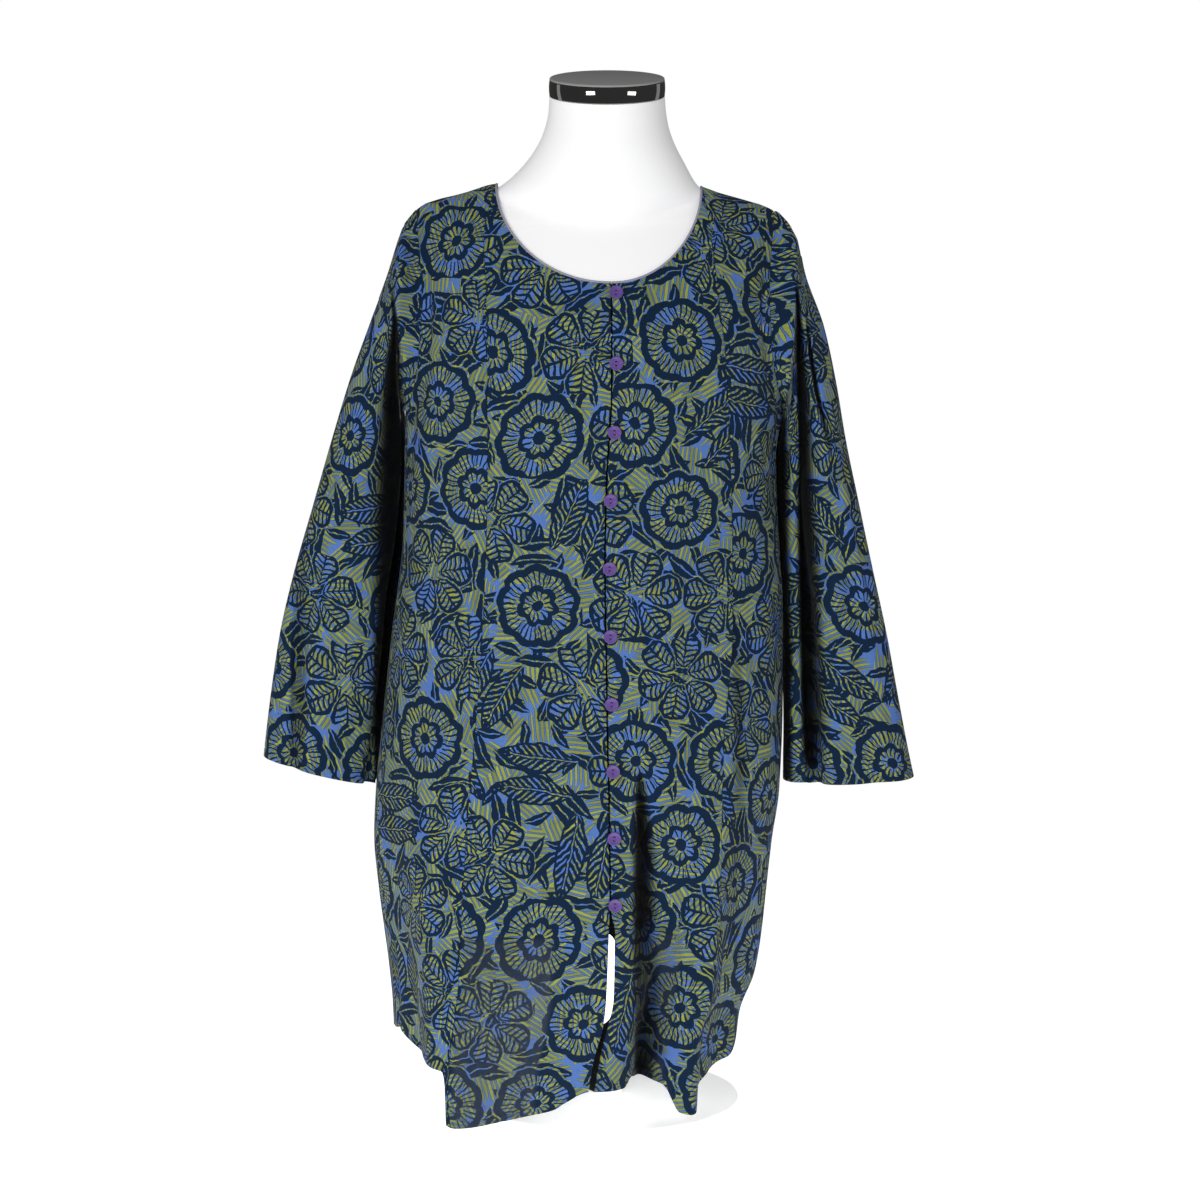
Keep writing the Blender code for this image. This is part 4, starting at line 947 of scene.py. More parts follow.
def add_tuck(panel):
    """The left front's inner edge dips under the right front's, and shows as a dark line from its
    groove and from painted shade on the tucked lines.

    Below the last button the fronts part, and near the hem the left one's facing turns back."""
    outer, normals, flat = panel.outer.copy(), panel.normals, panel.flat
    edge, normal, heights = panel.outer[:, 0], normals[:, 0], panel.heights[:, 0]
    way = unit(outer[:, 0] - outer[:, 2])
    held = smooth_array((heights - TUCK_LOW) / (TUCK_HIGH - TUCK_LOW))[:, None]
    turned = smooth_array((TURN_HIGH - heights) / (TURN_HIGH - TURN_LOW))[:, None]
    outer[:, 0] = edge - way * held - normal * 0.5 * held
    outer[:, 1] = (edge - way * 1.6 * held - normal * 0.1 * held
                   + (outer[:, 1] - edge) * (1 - held))
    lines = [edge + way * (reach * held + 0.02 * (1 - held) + back_reach * turned)
             - normal * (depth * held + 0.3 * (1 - held) + back_depth * turned)
             for reach, depth, back_reach, back_depth in TUCK_LINES]
    count = len(lines)
    more = np.repeat(flat[:, :1], count, 1)
    more[..., 0] += TUCK_OFFSETS

    def before(values, fill_value):
        return np.concatenate((np.full((len(values), count), fill_value), values), 1)

    # the tucked lines and the turned-back facing get full painted shade
    return panel._replace(
        outer=np.concatenate((np.stack(lines, 1), outer), 1),
        normals=np.concatenate((np.repeat(normals[:, :1], count, 1), normals), 1),
        flat=np.concatenate((more, flat), 1), thick=before(panel.thick, CLOTH),
        sheer=before(panel.sheer, 0.0), dark=before(panel.dark, 1.0))


def body_panels():
    """The five panels of the body, with their edges turned in at the seams and neckline."""
    for side, word in SIDE_WORD.items():
        for kind, spot, columns in (("centre_front", centre_front, 54),
                                    ("side_front", side_front, 28)):
            name = f"{kind}_{word}"
            panel = body_panel(name, partial(spot, side, name), side, columns)
            for end in (False, True):
                if kind == "side_front" or end == (side == 1):      # not at the opening
                    panel = add_seam(panel, 1, end)
            panel = add_seam(panel, 0, True)
            yield add_tuck(panel) if name == "centre_front_left" else panel
    panel = body_panel("back", partial(back, "back"), 1, 148)
    for axis, end in ((1, False), (1, True), (0, True)):
        panel = add_seam(panel, axis, end)
    yield panel


# ---- sleeves
def fine_places(side):
    """Armhole places from the shoulder tip down the front edge and up the back edge."""
    rises = [i / 60 for i in range(61)]
    name = f"side_front_{SIDE_WORD[side]}"
    front = [side_front(side, name, row_at(rise) if rise else LOW_ROWS, 1.0) for rise in rises]
    rear = [back("back", row_at(rise) if rise else LOW_ROWS + 1e-6, 0.0 if side == 1 else 1.0)
            for rise in rises]
    return front[::-1] + rear[1:-1]


def sleeve_push(word, degrees, along):
    push = 0.0
    for fold in map(SleeveFold._make, SLEEVE_FOLDS[word]):
        off = angle_between(degrees, mix(fold.armhole_place, fold.cuff_place, along))
        rise = smoothstep((along - fold.begin) / (1 - fold.begin) * 1.8)
        push += fold.depth * rise * math.exp(-(off / fold.width) ** 2)
    return push


def clear_of_body(side, x, y, z):
    reach = RIDGE_Y - BODY_FRONT(z) if y < RIDGE_Y else BODY_BACK(z) - RIDGE_Y
    share = abs(y - RIDGE_Y) / reach
    if share >= 1:
        return x
    angle = side * math.degrees(math.acos(share ** (SECTION_POWER / 2)))
    if y > RIDGE_Y:
        angle = side * 180 - angle
    across = (1 - share ** SECTION_POWER) ** (1 / SECTION_POWER)
    limit = (half_width(z) * across + side * centre_x(z) + SLEEVE_CLEAR
             + max(0.75 * fold_push(angle, z), 0.0))
    return side * -soft_least(-side * x, -limit, 1.0)


def armhole_edges(side, places):
    ring = Ring(*SLEEVES[SIDE_WORD[side]][0])
    mouth = np.array((ring.outer_x + side * 90.0, RIDGE_Y, mix(UNDERARM, SHOULDER_TIP, 0.4)))
    tucked, start, turned_out = [], [], []
    for place in places:
        normal = body_normal(*place)
        spot = np.array(body_point(*place))
        away = mouth - spot
        away -= normal * np.dot(away, normal)
        away /= np.linalg.norm(away)
        risen = (place[1] - UNDERARM) / (SHOULDER_TIP - UNDERARM)
        tucked.append(spot + away * 0.2 - normal * SEAM_DEPTH)
        start.append(spot + away * 0.5 - normal * SEAM_ROLL)
        turned_out.append(spot + away * mix(1.2, 2.4, risen)
                          + normal * mix(TURN_OUT, 0.0, smoothstep(risen)))
    return tucked, start, turned_out


def level_turns(places):
    turns = []
    for index, (_, height) in enumerate(places):
        level = 2 * (height - UNDERARM) / (SHOULDER_TIP - UNDERARM) - 1
        level = min(max(level, -1.0), 1.0)
        turn = math.acos(bent(level, SLEEVE_POWER / 2))
        turns.append(turn if index <= len(places) / 2 else 2 * math.pi - turn)
    return turns


def sleeve_ring(side, number, turns):
    word = SIDE_WORD[side]
    ring = Ring(*SLEEVES[word][number - 1])
    outer = np.array((ring.outer_x, ring.outer_y, ring.outer_z))
    inner = np.array((ring.inner_x, ring.inner_y, ring.inner_z))
    middle = (outer + inner) / 2
    power = 2 / SLEEVE_POWER
    spots = []
    for turn in turns:
        cosine, sine = bent(math.cos(turn), power), bent(math.sin(turn), power)
        depth = ring.front if sine > 0 else ring.back
        offset = (outer - inner) / 2 * cosine - np.array((0.0, depth * sine, 0.0))
        push = sleeve_push(word, math.degrees(turn), number / len(SLEEVES[word]))
        spot = middle + offset + offset / np.linalg.norm(offset) * push
        spot[0] = clear_of_body(side, *spot)
        spots.append(spot)
    return spots


def between_rows(grid, counts):
    """Rows added between a grid's rows on a smooth curve that never overshoots them."""
    grid = np.array(grid)
    lengths = np.linalg.norm(np.diff(grid, axis=0), axis=2).mean(1)[:, None, None]
    steps = np.diff(grid, axis=0) / lengths
    before, after = steps[:-1], steps[1:]
    product = before * after
    inner = np.where(product > 0, 2 * product / np.where(product > 0, before + after, 1), 0)
    slopes = np.concatenate((steps[:1], inner, steps[-1:]))
    made = [eased_step(*grid[i:i + 2], *slopes[i:i + 2], lengths[i], k / count)
            for i, count in enumerate(counts) for k in range(count)]
    return np.array(made + [grid[-1]])


def twice_round(rows):
    """Doubles the points of closed rows, on a smooth curve through them."""
    before, after, beyond = (np.roll(rows, k, axis=1) for k in (1, -1, -2))
    middle = (9 * (rows + after) - before - beyond) / 16
    return np.stack((rows, middle), 2).reshape(len(rows), -1, 3)


def sleeve(side):
    """One sleeve as a closed grid, from its cuff up to the edge tucked into the armhole."""
    name = f"sleeve_{SIDE_WORD[side]}"
    places = fine_places(side)
    rings = list(armhole_edges(side, places))
    even_turns = [2 * math.pi * index / len(places) for index in range(len(places))]
    total = len(SLEEVES[SIDE_WORD[side]])
    for number in range(1, total + 1):
        even = smoothstep((number - 1) / 4)
        turns = [mix(*pair, even) for pair in zip(level_turns(places), even_turns)]
        rings.append(sleeve_ring(side, number, turns))
    counts = [1, 2, 10] + [16] * (total - 2) + [9]
    outer = twice_round(between_rows(rings, counts))
    rows, columns = outer.shape[:2]
    down = np.linspace(0, 1, rows)[::-1, None]
    turns = np.arange(columns)[None, :] * 360 / columns
    outer = outer[::-1]
    if side == 1:
        outer, turns = outer[:, ::-1], turns[:, ::-1]
    push = crease_push(name, turns, down * SLEEVE_LENGTH, y_scale=SLEEVE_LENGTH)
    outer = shoulder_fall(outer + outward(outer, True) * push[..., None])
    seam = rows - sum(counts[:2])
    # painted shade in the sleeves' deep folds and armpit bands
    folded, dark = front_folds(name, outer[:seam], outward(outer, True)[:seam])
    ease = np.clip((seam - 1 - np.arange(seam)) / 3, 0, 1)[:, None]
    outer[:seam] += (folded - outer[:seam]) * ease[..., None]
    dark = np.concatenate((dark * ease, np.zeros((rows - seam, columns))))
    for spot in outer[:seam - 8].reshape(-1, 3):
        if side * spot[0] < CLEAR_WITHIN and spot[2] < SHOULDER_TIP - 30:
            spot[0] = clear_of_body(side, *spot)
    normals = outward(outer, True)
    around = np.linalg.norm(np.roll(outer, -1, axis=1) - outer, axis=2)
    u = np.concatenate((np.zeros((rows, 1)), np.cumsum(around, axis=1)[:, :-1]), axis=1)
    v = np.zeros((rows, columns))
    v[1:] = np.cumsum(np.linalg.norm(np.diff(outer, axis=0), axis=2), axis=0)
    # the print's break goes to the underarm, where a sleeve's own seam is
    half = columns // 2
    outer, normals, u, v, dark = (np.roll(each, -half, axis=1)
                                  for each in (outer, normals, u, v, dark))
    u[:, columns - half:] += around.sum(1)[:, None]
    u -= u[:, half:half + 1]
    return Panel(name, hem_line(outer, normals, v), normals,
                 np.where(v < HEM_TURN, HEM_CLOTH, CLOTH), np.stack((u, v), -1),
                 np.zeros(v.shape), dark, None)


# ==== materials
def fill(tree, node, *values, **named):
    """Feeds a node's first inputs in order, and others by name: numbers, colours or sockets."""
    slots = [(node.inputs[key.replace("_", " ")], value) for key, value in named.items()]
    for slot, value in (*zip(node.inputs, values), *slots):
        value = getattr(value, "socket", value)
        if isinstance(value, bpy.types.NodeSocket):
            tree.links.new(value, slot)
        else:
            slot.default_value = value
    return node


def add_node(tree, kind, *values, **named):
    return fill(tree, tree.nodes.new(f"ShaderNode{kind}"), *values, **named)


class Num:
    """A number worked out by Math nodes, with ordinary arithmetic."""

    def __init__(self, tree, socket):
        self.tree, self.socket = tree, socket

    def of(self, kind, *others):
        node = add_node(self.tree, "Math", self, *others)
        node.operation = kind
        return Num(self.tree, node.outputs[0])

    def __rsub__(self, other):
        return self.of("MULTIPLY_ADD", -1.0, other)

    __add__ = partialmethod(of, "ADD")
    __sub__ = partialmethod(of, "SUBTRACT")
    __mul__ = partialmethod(of, "MULTIPLY")
    __truediv__ = partialmethod(of, "DIVIDE")
    __lt__ = partialmethod(of, "LESS_THAN")
    __gt__ = partialmethod(of, "GREATER_THAN")
    __abs__ = partialmethod(of, "ABSOLUTE")
    floor = partialmethod(of, "FLOOR")
    fract = partialmethod(of, "FRACT")
    least = partialmethod(of, "MINIMUM")
    most = partialmethod(of, "MAXIMUM")


def numbers(tree, kind, socket):
    """The parts of a colour or vector."""
    return [Num(tree, part) for part in add_node(tree, f"Separate{kind}", socket).outputs]


def random_at(tree, x, y, z):
    """Four random numbers that belong to a cell."""
    noise = add_node(tree, "TexWhiteNoise", Vector=vector_of(tree, x, y, z))
    return numbers(tree, "Color", noise.outputs["Color"]) + [Num(tree, noise.outputs["Value"])]


def vector_of(tree, *values):
    return add_node(tree, "CombineXYZ", *values).outputs[0]


def noise_at(tree, vector, scale, detail=2.0):
    return add_node(tree, "TexNoise", Vector=vector, Scale=scale, Detail=detail)


def mixed_colour(tree, cover, under, over, blend="MIX"):
    """One colour over another: both are colours or sockets."""
    node = add_node(tree, "Mix", cover)
    node.data_type, node.blend_type = "RGBA", blend
    for slot, value in ((6, under), (7, over)):
        if isinstance(value, tuple):
            node.inputs[slot].default_value = (*value, 1)
        else:
            tree.links.new(value, node.inputs[slot])
    return node.outputs[2]


def mixed_surface(tree, share, first, second):
    """Two shaders mixed, as the material's surface."""
    mixed = add_node(tree, "MixShader", share, first.outputs[0], second.outputs[0])
    tree.links.new(mixed.outputs[0], tree.nodes["Material Output"].inputs["Surface"])


def bump(tree, shader, height, strength, distance):
    node = add_node(tree, "Bump", Height=height, Strength=strength, Distance=distance)
    tree.links.new(node.outputs[0], shader.inputs["Normal"])


def marked(tree, name):
    """A number marked on the mesh's points."""
    node = add_node(tree, "Attribute")
    node.attribute_name = name
    return Num(tree, node.outputs["Fac"])


def turned(x, y, share):
    """Coordinates turned by a share of a whole turn."""
    turn = share * (2 * math.pi)
    cosine, sine = turn.of("COSINE"), turn.of("SINE")
    return x * cosine + y * sine, y * cosine - x * sine


def turned_cells(tree, u, v, pitch, tall, jitter, seed):
    """Local coordinates in staggered cells, each shifted and turned by its own random numbers."""
    row = (v / tall).floor()
    across = u / pitch + row * 0.5
    column = across.floor()
    shift_x, shift_y, spin, kind = random_at(tree, column, row, seed)
    x = (across - column - 0.5) * pitch + (shift_x - 0.5) * (2 * jitter)
    y = v - (row + 0.5) * tall + (shift_y - 0.5) * (2 * jitter)
    return *turned(x, y, spin), kind


def polar(x, y, radius):
    """Distance from the middle as a share of a radius, and share of a whole turn."""
    return (x * x + y * y).of("SQRT") / radius, y.of("ARCTAN2", x) / (2 * math.pi)


def between(value, low, high):
    return (value > low) * (value < high)


def spokes(turn, count, offset=0.0):
    """Distance from the middle of the nearest of equal sectors, where 0.5 is a sector's side."""
    return abs((turn * count + offset).fract() - 0.5)


def rosette(x, y, radius):
    """A round flower head of scalloped tiers, each cut with broad radial slits."""
    r, turn = polar(x, y, radius)
    inside = r < 1.1
    ink = r < 0.13
    for petals, offset, wave, low, high, edge, lines in (
            (7, 0.0, 0.10, 0.17, 0.35, 0.49, 14), (9, 0.5, 0.085, 0.49, 0.80, 0.97, 36)):
        lobe = spokes(turn, petals, offset)
        wavy = r + lobe * lobe * (4 * wave)
        slits = between(wavy, low, high) * (spokes(turn, lines, offset) > 0.33)
        ink = ink.most(slits).most(between(wavy, high, edge))
        ink = ink.most(between(r, low, edge) * (lobe > 0.485) * (wavy < edge))
        inside = wavy < edge + 0.05
    return inside, ink


def daisy(x, y, radius):
    """A flower of broad outlined petals with chevron cuts."""
    r, turn = polar(x, y, radius)
    side = spokes(turn, 6)
    q = (r - 0.14) / 0.86
    width = ((q * (1.03 - q)).most(0.0).of("SQRT") * 0.99).least(0.475)
    petal = (side < width) * between(r, 0.20, 1.0)
    window = (side < width - 0.115) * between(q, 0.13, 0.90) * (side > 0.035)
    veins = (q * 6.5 - side * 3.4).fract() < 0.42
    petal = petal * (1 - window * (1 - veins))
    middle = (r < 0.17) * (1 - between(r, 0.07, 0.12))
    return (side < width + 0.04) * (r < 1.02), petal.most(middle)


def leaf(x, y, length, width, bend=0.0, vein=0.0):
    """A pointed leaf with a light midrib, and light side veins if asked."""
    t = x / (length / 2)
    off = y - t * t * bend
    half = (1 - t * t) * width
    aside = abs(off)
    ink = aside < half
    inside = ink
    ink = ink * (1 - (aside < 0.6) * (t < 0.7))
    if vein:
        slits = (((x - aside * 1.25) / vein).fract() < 0.36) * (aside > 1.9) * (aside < half - 2.4)
        ink = ink * (1 - slits)
    return inside, ink


def choose(cover, over, under):
    """over where cover is 1, under where it is 0."""
    return under + (over - under) * cover


def olive_strokes(tree, u, v):
    """Patches of short strokes, each patch cut its own way: the strokes' edge, core and tone."""
    patch = add_node(tree, "TexVoronoi", Vector=vector_of(tree, u, v, 0.0), Scale=1 / PATCH)
    patch.voronoi_dimensions = "2D"
    x, y, _ = numbers(tree, "XYZ", patch.outputs["Position"])
    spin, seed, _ = numbers(tree, "Color", patch.outputs["Color"])
    along, across = turned(u - x, v - y, spin)
    across = across / STROKE_PITCH
    slip, reach, wide, tone = random_at(tree, across.floor(), seed * 91.0, 3.0)
    share = abs(along + (slip - 0.5) * 7.0) / (reach * 8.0 + 12.5)
    blunt = 1 - (share * share) * (share * share)
    off = abs(across.fract() - 0.5)
    return (*(off < (blunt * (wide * 0.12 + half)) for half in (0.34, 0.21)), tone)


def navy_motifs(tree, u, v):
    """Flowers and leaves in three sizes, the bigger ones over the smaller."""
    x, y, _ = turned_cells(tree, u, v, 30.0, 26.0, 3.0, 11.0)
    navy = leaf(x, y, 29.0, 5.0, 2.0)[1]
    x, y, _ = turned_cells(tree, u + 61.0, v + 44.0, 58.0, 47.0, 3.0, 23.0)
    for shift, bend in ((-7.0, 4.0), (7.0, -4.0)):
        inside, ink = leaf(x, y + shift, 46.0, 6.2, bend)
        navy = choose(inside, ink, navy)
    x, y, kind = turned_cells(tree, u + 17.0, v + 5.0, 88.0, 77.0, 2.0, 5.0)
    x = x * (kind * 0.30 + 0.86)
    inside, ink = rosette(x, y, 40.0)
    for least, other in ((0.46, daisy(x, y, 43.0)),
                         (0.80, leaf(x, abs(y) - 15.0, 84.0, 14.0, 2.0, 7.6))):
        chosen = (kind * 7.0).fract() > least
        inside, ink = (choose(chosen, *pair) for pair in zip(other, (inside, ink)))
    return choose(inside, ink, navy)


def print_group():
    """The block print: a mid-blue ground, patches of olive strokes, navy flowers and leaves."""
    tree = bpy.data.node_groups.new("block_print", "ShaderNodeTree")
    for name, kind in (("Color", "Color"), ("Threads", "Float")):
        tree.interface.new_socket(name, in_out="OUTPUT", socket_type=f"NodeSocket{kind}")
    where = add_node(tree, "UVMap")
    where.uv_map = "cloth"
    flat = [part * (1 / METRE) for part in numbers(tree, "XYZ", where.outputs[0])[:2]]
    # a hand-cut wobble of every edge, less in the strokes
    wobble = noise_at(tree, vector_of(tree, *flat, 0.0), 0.09)
    sway = [part - 0.5 for part in numbers(tree, "Color", wobble.outputs["Color"])[:2]]
    motifs, strokes = ([place + shift * reach for place, shift in zip(flat, sway)]
                       for reach in (MOTIF_WOBBLE, STROKE_WOBBLE))
    edge, core, tone = olive_strokes(tree, *strokes)
    olive = mixed_colour(tree, tone, OLIVE_DARK, OLIVE_LIGHT)
    colour = mixed_colour(tree, edge, GROUND_BLUE, STROKE_EDGE)
    colour = mixed_colour(tree, core, colour, olive)
    colour = mixed_colour(tree, navy_motifs(tree, *motifs), colour, NAVY)
    # slubby threads both ways
    warp, weft = (Num(tree, noise_at(tree, vector_of(tree, flat[0] * x, flat[1] * y, z), 1.0,
                                     1.0).outputs[0])
                  for x, y, z in ((2.4, 0.10, 0.0), (0.10, 2.4, 7.0)))
    fill(tree, tree.nodes.new("NodeGroupOutput"), colour, (warp + weft) * 0.5)
    return tree


def new_material(name):
    made = bpy.data.materials.new(name)
    made.use_nodes = True
    return made, made.node_tree, made.node_tree.nodes["Principled BSDF"]


def cloth_material(name, group):
    """Printed voile: the print through its threads, paler on the reverse, with painted shade
    darkening the folds.
    """
    made, tree, shader = new_material(name)
    pattern = tree.nodes.new("ShaderNodeGroup")
    pattern.node_tree = group
    threads = Num(tree, pattern.outputs["Threads"])
    # painted shade: the colour darkens by the 'depth' mark in the deep folds
    grey = ((threads - 0.5) * 0.9 + 1.0) * (1 - marked(tree, "depth") * 0.985)
    tint = mixed_colour(tree, 1.0, pattern.outputs["Color"], vector_of(tree, grey, grey, grey),
                        "MULTIPLY")
    pale = mixed_colour(tree, marked(tree, "reverse") * 0.30, tint, (0.16, 0.17, 0.15))
    fill(tree, shader, Base_Color=pale, Roughness=0.88, Specular_IOR_Level=0.12,
         Sheen_Weight=0.03, Sheen_Roughness=0.5)
    bump(tree, shader, threads, 0.5, 0.0005)
    # thin cotton lets soft light through where it is single
    through = add_node(tree, "BsdfTranslucent", (0.55, 0.56, 0.58, 1))
    mixed_surface(tree, marked(tree, "sheer") * 0.28 + 0.02, shader, through)
    return made


def plain_material(name, colour, scale, spread, rough, values):
    """A material whose colour varies softly about one tone, with a fine uneven surface."""
    made, tree, shader = new_material(name)
    where = add_node(tree, "TexCoord").outputs["Object"]
    where = add_node(tree, "Mapping", where, Scale=STRETCH.get(name, (1, 1, 1))).outputs[0]
    tones = [tuple(min(part * (1 + way * spread), 1) for part in colour) for way in (-1, 1)]
    base = mixed_colour(tree, noise_at(tree, where, scale, 3.0).outputs[0], *tones)
    fill(tree, shader, Base_Color=base, **values)
    if rough:
        bump(tree, shader, noise_at(tree, where, scale * 12).outputs[0], rough, 0.0004)
    return made


# ==== small pieces
def lathe(name, profile, sides, finish):
    """A turned piece from its profile, written from the top of its axis down the outer side."""
    points, faces, rings = [], [], []
    for r, z in profile:
        spots = [(r * sine, -r * cosine, z) for sine, cosine in circle(sides)] if r else [(0, 0, z)]
        rings.append([len(points) + k for k in range(len(spots))] * (sides // len(spots)))
        points += spots
    for upper, lower in zip(rings, rings[1:]):
        for k in range(sides):
            n = (k + 1) % sides
            faces.append(tuple(dict.fromkeys((upper[k], lower[k], lower[n], upper[n]))))
    made = mesh_piece(name, points, faces, finish)
    made.data.set_sharp_from_angle(angle=SHARP)
    return made


def apply_all(piece):
    """Makes a piece's modifiers part of its mesh."""
    graph = bpy.context.evaluated_depsgraph_get()
    mesh = bpy.data.meshes.new_from_object(piece.evaluated_get(graph))
    piece.modifiers.clear()
    piece.data = mesh


def place_on_cloth(angle, height, stand_off):
    normal = Vector(body_normal(angle, height))
    spot = Vector(body_point(angle, height)) + normal * stand_off
    up = (Vector((0, 0, 1)) - normal * normal.z).normalized()
    right = up.cross(normal)
    turn = Matrix((right, up, normal)).transposed().to_4x4()
    return Matrix.Translation(spot * METRE) @ turn


def button_mesh(finish, thread):
    """A two-hole button with a rounded rim, a dished middle and thread through its holes."""
    r, t = BUTTON_RADIUS, BUTTON_THICKNESS
    rim = r - BUTTON_RIM
    profile = [(0, t - BUTTON_DISH), (rim - 1.2, t - BUTTON_DISH), (rim - 0.5, t - 0.5),
               (rim - 0.1, t - 0.12), (rim + 0.25, t), (r - 0.35, t - 0.02), (r - 0.1, t - 0.25),
               (r, t - 0.7), (r, 0.7), (r - 0.15, 0.25), (r - 0.5, 0), (0, 0)]
    made = lathe("button_shape", profile, 64, finish)
    holes = []
    for place in (-HOLE_PLACE, HOLE_PLACE):
        hole = lathe("hole", [(0, 4), (HOLE_RADIUS, 4), (HOLE_RADIUS, -1), (0, -1)], 24, finish)
        hole.location = (0, place * METRE, 0)
        holes.append(hole)
        cut = made.modifiers.new("hole", "BOOLEAN")
        cut.object, cut.solver = hole, "EXACT"
    apply_all(made)
    for hole in holes:
        bpy.data.objects.remove(hole)
    half = ((1, -0.6), (1, 1.2), (0.86, 1.95), (0.4, 2.2))
    path = [(-y, z) for y, z in half] + [*half[::-1]]
    strands = [tube("strand", [(shift, y * HOLE_PLACE, z) for y, z in path], 0.27, 8, thread)
               for shift in (-0.28, 0.28)]
    return joined(made, strands)


def tube(name, path, radius, sides, finish):
    """A closed round tube along a path that lies mostly in one plane."""
    path = np.array(path, float)
    ways = unit(np.gradient(path, axis=0))
    side = unit(np.cross(ways, np.array((1.0, 0.0, 0.001))))
    other = np.cross(ways, side)
    points = [spot + radius * (a * cosine + b * sine) for spot, a, b in zip(path, side, other)
              for sine, cosine in circle(sides)]
    return mesh_piece(name, points, tube_faces(len(path), sides), finish)


def joined(piece, others):
    """One object from several, each part keeping its own material."""
    with bpy.context.temp_override(active_object=piece, object=piece,
                                   selected_editable_objects=[piece, *others],
                                   selected_objects=[piece, *others]):
        bpy.ops.object.join()
    return piece


def stitches(name, path, normals, finish):
    """A row of machine stitches lying on the cloth along a path, as one mesh."""
    length = np.concatenate(([0], np.cumsum(np.linalg.norm(np.diff(path, axis=0), axis=1))))
    points, faces = [], []
    for number in range(int(length[-1] / STITCH_PITCH)):
        middle = (number + 0.5) * STITCH_PITCH
        spot, ahead, up = (
            np.array([np.interp(at, length, values[:, k]) for k in range(3)])
            for at, values in ((middle, path), (middle + 0.5, path), (middle, normals)))
        up, way = unit(up), unit(ahead - spot)
        side = np.cross(up, way)
        faces += tube_faces(len(STITCH_SHAPE), STITCH_SIDES, len(points))
        points += [spot + way * along * STITCH_LENGTH + up * (lift + share * STITCH_RADIUS * sine)
                   + side * share * STITCH_RADIUS * cosine
                   for along, lift, share in STITCH_SHAPE for sine, cosine in circle(STITCH_SIDES)]
    return mesh_piece(name, points, faces, finish)


def sewn(panel, cloth, thread, closed):
    """A cloth piece, and the row of stitches that holds its turned hem."""
    piece = shell(panel, cloth, closed)
    settle(piece, "printed_cotton", panel.name)
    inner = slice(None) if closed else slice(1, -1)
    outer, normals, flat = (each[:, inner] for each in (panel.outer, panel.normals, panel.flat))
    rise = (flat[..., 1] - flat[:1, :, 1]).mean(1)
    row = int(np.argmin(abs(rise - HEM_TURN + 1)))
    hem = stitches(f"stitching_{panel.name}_hem", outer[row], normals[row], thread)
    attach(hem, "root")
    return piece, hem


def neck_path(count):
    """Places along the neckline, from the left opening edge round the back to the right one."""
    steps = [i / count for i in range(count + 1)]
    left = [neckline(1, t) for t in steps]
    right = [neckline(-1, t) for t in steps]
    low, high = SHOULDER_COLUMNS / LAST_BACK, 1 - SHOULDER_COLUMNS / LAST_BACK
    rear = [back("back", row_at(1.0), mix(low, high, t)) for t in steps]
    as_places = [(angle_at(x, z), z) for x, z in left]
    return as_places + rear[1:-1] + [(angle_at(x, z), z) for x, z in right[::-1]]


def neck_frame(count):
    """The neckline's points, outward directions and the directions towards the neck."""
    places = neck_path(count)
    path = np.array([body_point(*place) for place in places])
    normals = np.array([body_normal(*place) for place in places])
    for _ in range(6):
        normals[1:-1] = unit(normals[:-2] + 2 * normals[1:-1] + normals[2:])
    ways = unit(np.gradient(path, axis=0))
    return path, normals, unit(np.cross(normals, ways))


def neck_binding(finish):
    """The bound edge: a tube of rounded square section along the neckline."""
    path, normals, upwards = neck_frame(60)
    points = [spot + up * (0.75 + 1.05 * bent(cosine, BINDING_POWER))
              + normal * (-0.55 + 0.85 * bent(sine, BINDING_POWER))
              for spot, normal, up in zip(path, normals, upwards)
              for sine, cosine in circle(BINDING_SIDES)]
    return mesh_piece("neck_binding_cloth", points, tube_faces(len(path), BINDING_SIDES), finish)


# ==== dress form
def ray_to_cloth(direction, height, keep):
    near, far = 0.0, 260.0
    for _ in range(26):
        middle = (near + far) / 2
        x = FORM_CENTRE + direction[0] * middle
        y = direction[1] * middle
        share = abs(x - centre_x(height)) / (half_width(height) - keep)
        inside = False
        top = height + WALL + SHOULDER_CLEARANCE
        if share < 1 and top < ridge_height(x):
            along = (1 - share ** SECTION_POWER) ** (1 / SECTION_POWER)
            if y < RIDGE_Y:
                depth = (RIDGE_Y - BODY_FRONT(height)) * along * rounding(x, top, FRONT_ROUNDING)
                inside = RIDGE_Y - y < depth - keep * 0.4
            else:
                depth = (BODY_BACK(height) - RIDGE_Y) * along * rounding(x, top, BACK_ROUNDING)
                inside = y - RIDGE_Y < depth - keep * 0.4
        near, far = (middle, far) if inside else (near, middle)
    return near


def form_radius(turn, height):
    direction = (math.sin(turn), -math.cos(turn))
    width = TORSO_WIDTH(height)
    depth = -TORSO_FRONT(height) if direction[1] < 0 else TORSO_BACK(height)
    torso = 1 / (abs(direction[0] / width) ** 2.4 + abs(direction[1] / depth) ** 2.4) ** (1 / 2.4)
    if height > UNDERARM - 60:
        torso = soft_least(torso, max(ray_to_cloth(direction, height, WALL + FORM_CLEARANCE), 1.0),
                           2.5)
    if height < 800:
        return torso
    width = NECK_RIGHT(height) if direction[0] < 0 else NECK_LEFT(height)
    depth = -NECK_FRONT(height) if direction[1] < 0 else NECK_BACK(height)
    neck = 1 / math.hypot(direction[0] / width, direction[1] / depth)
    return -soft_least(-torso, -neck, 4.0)


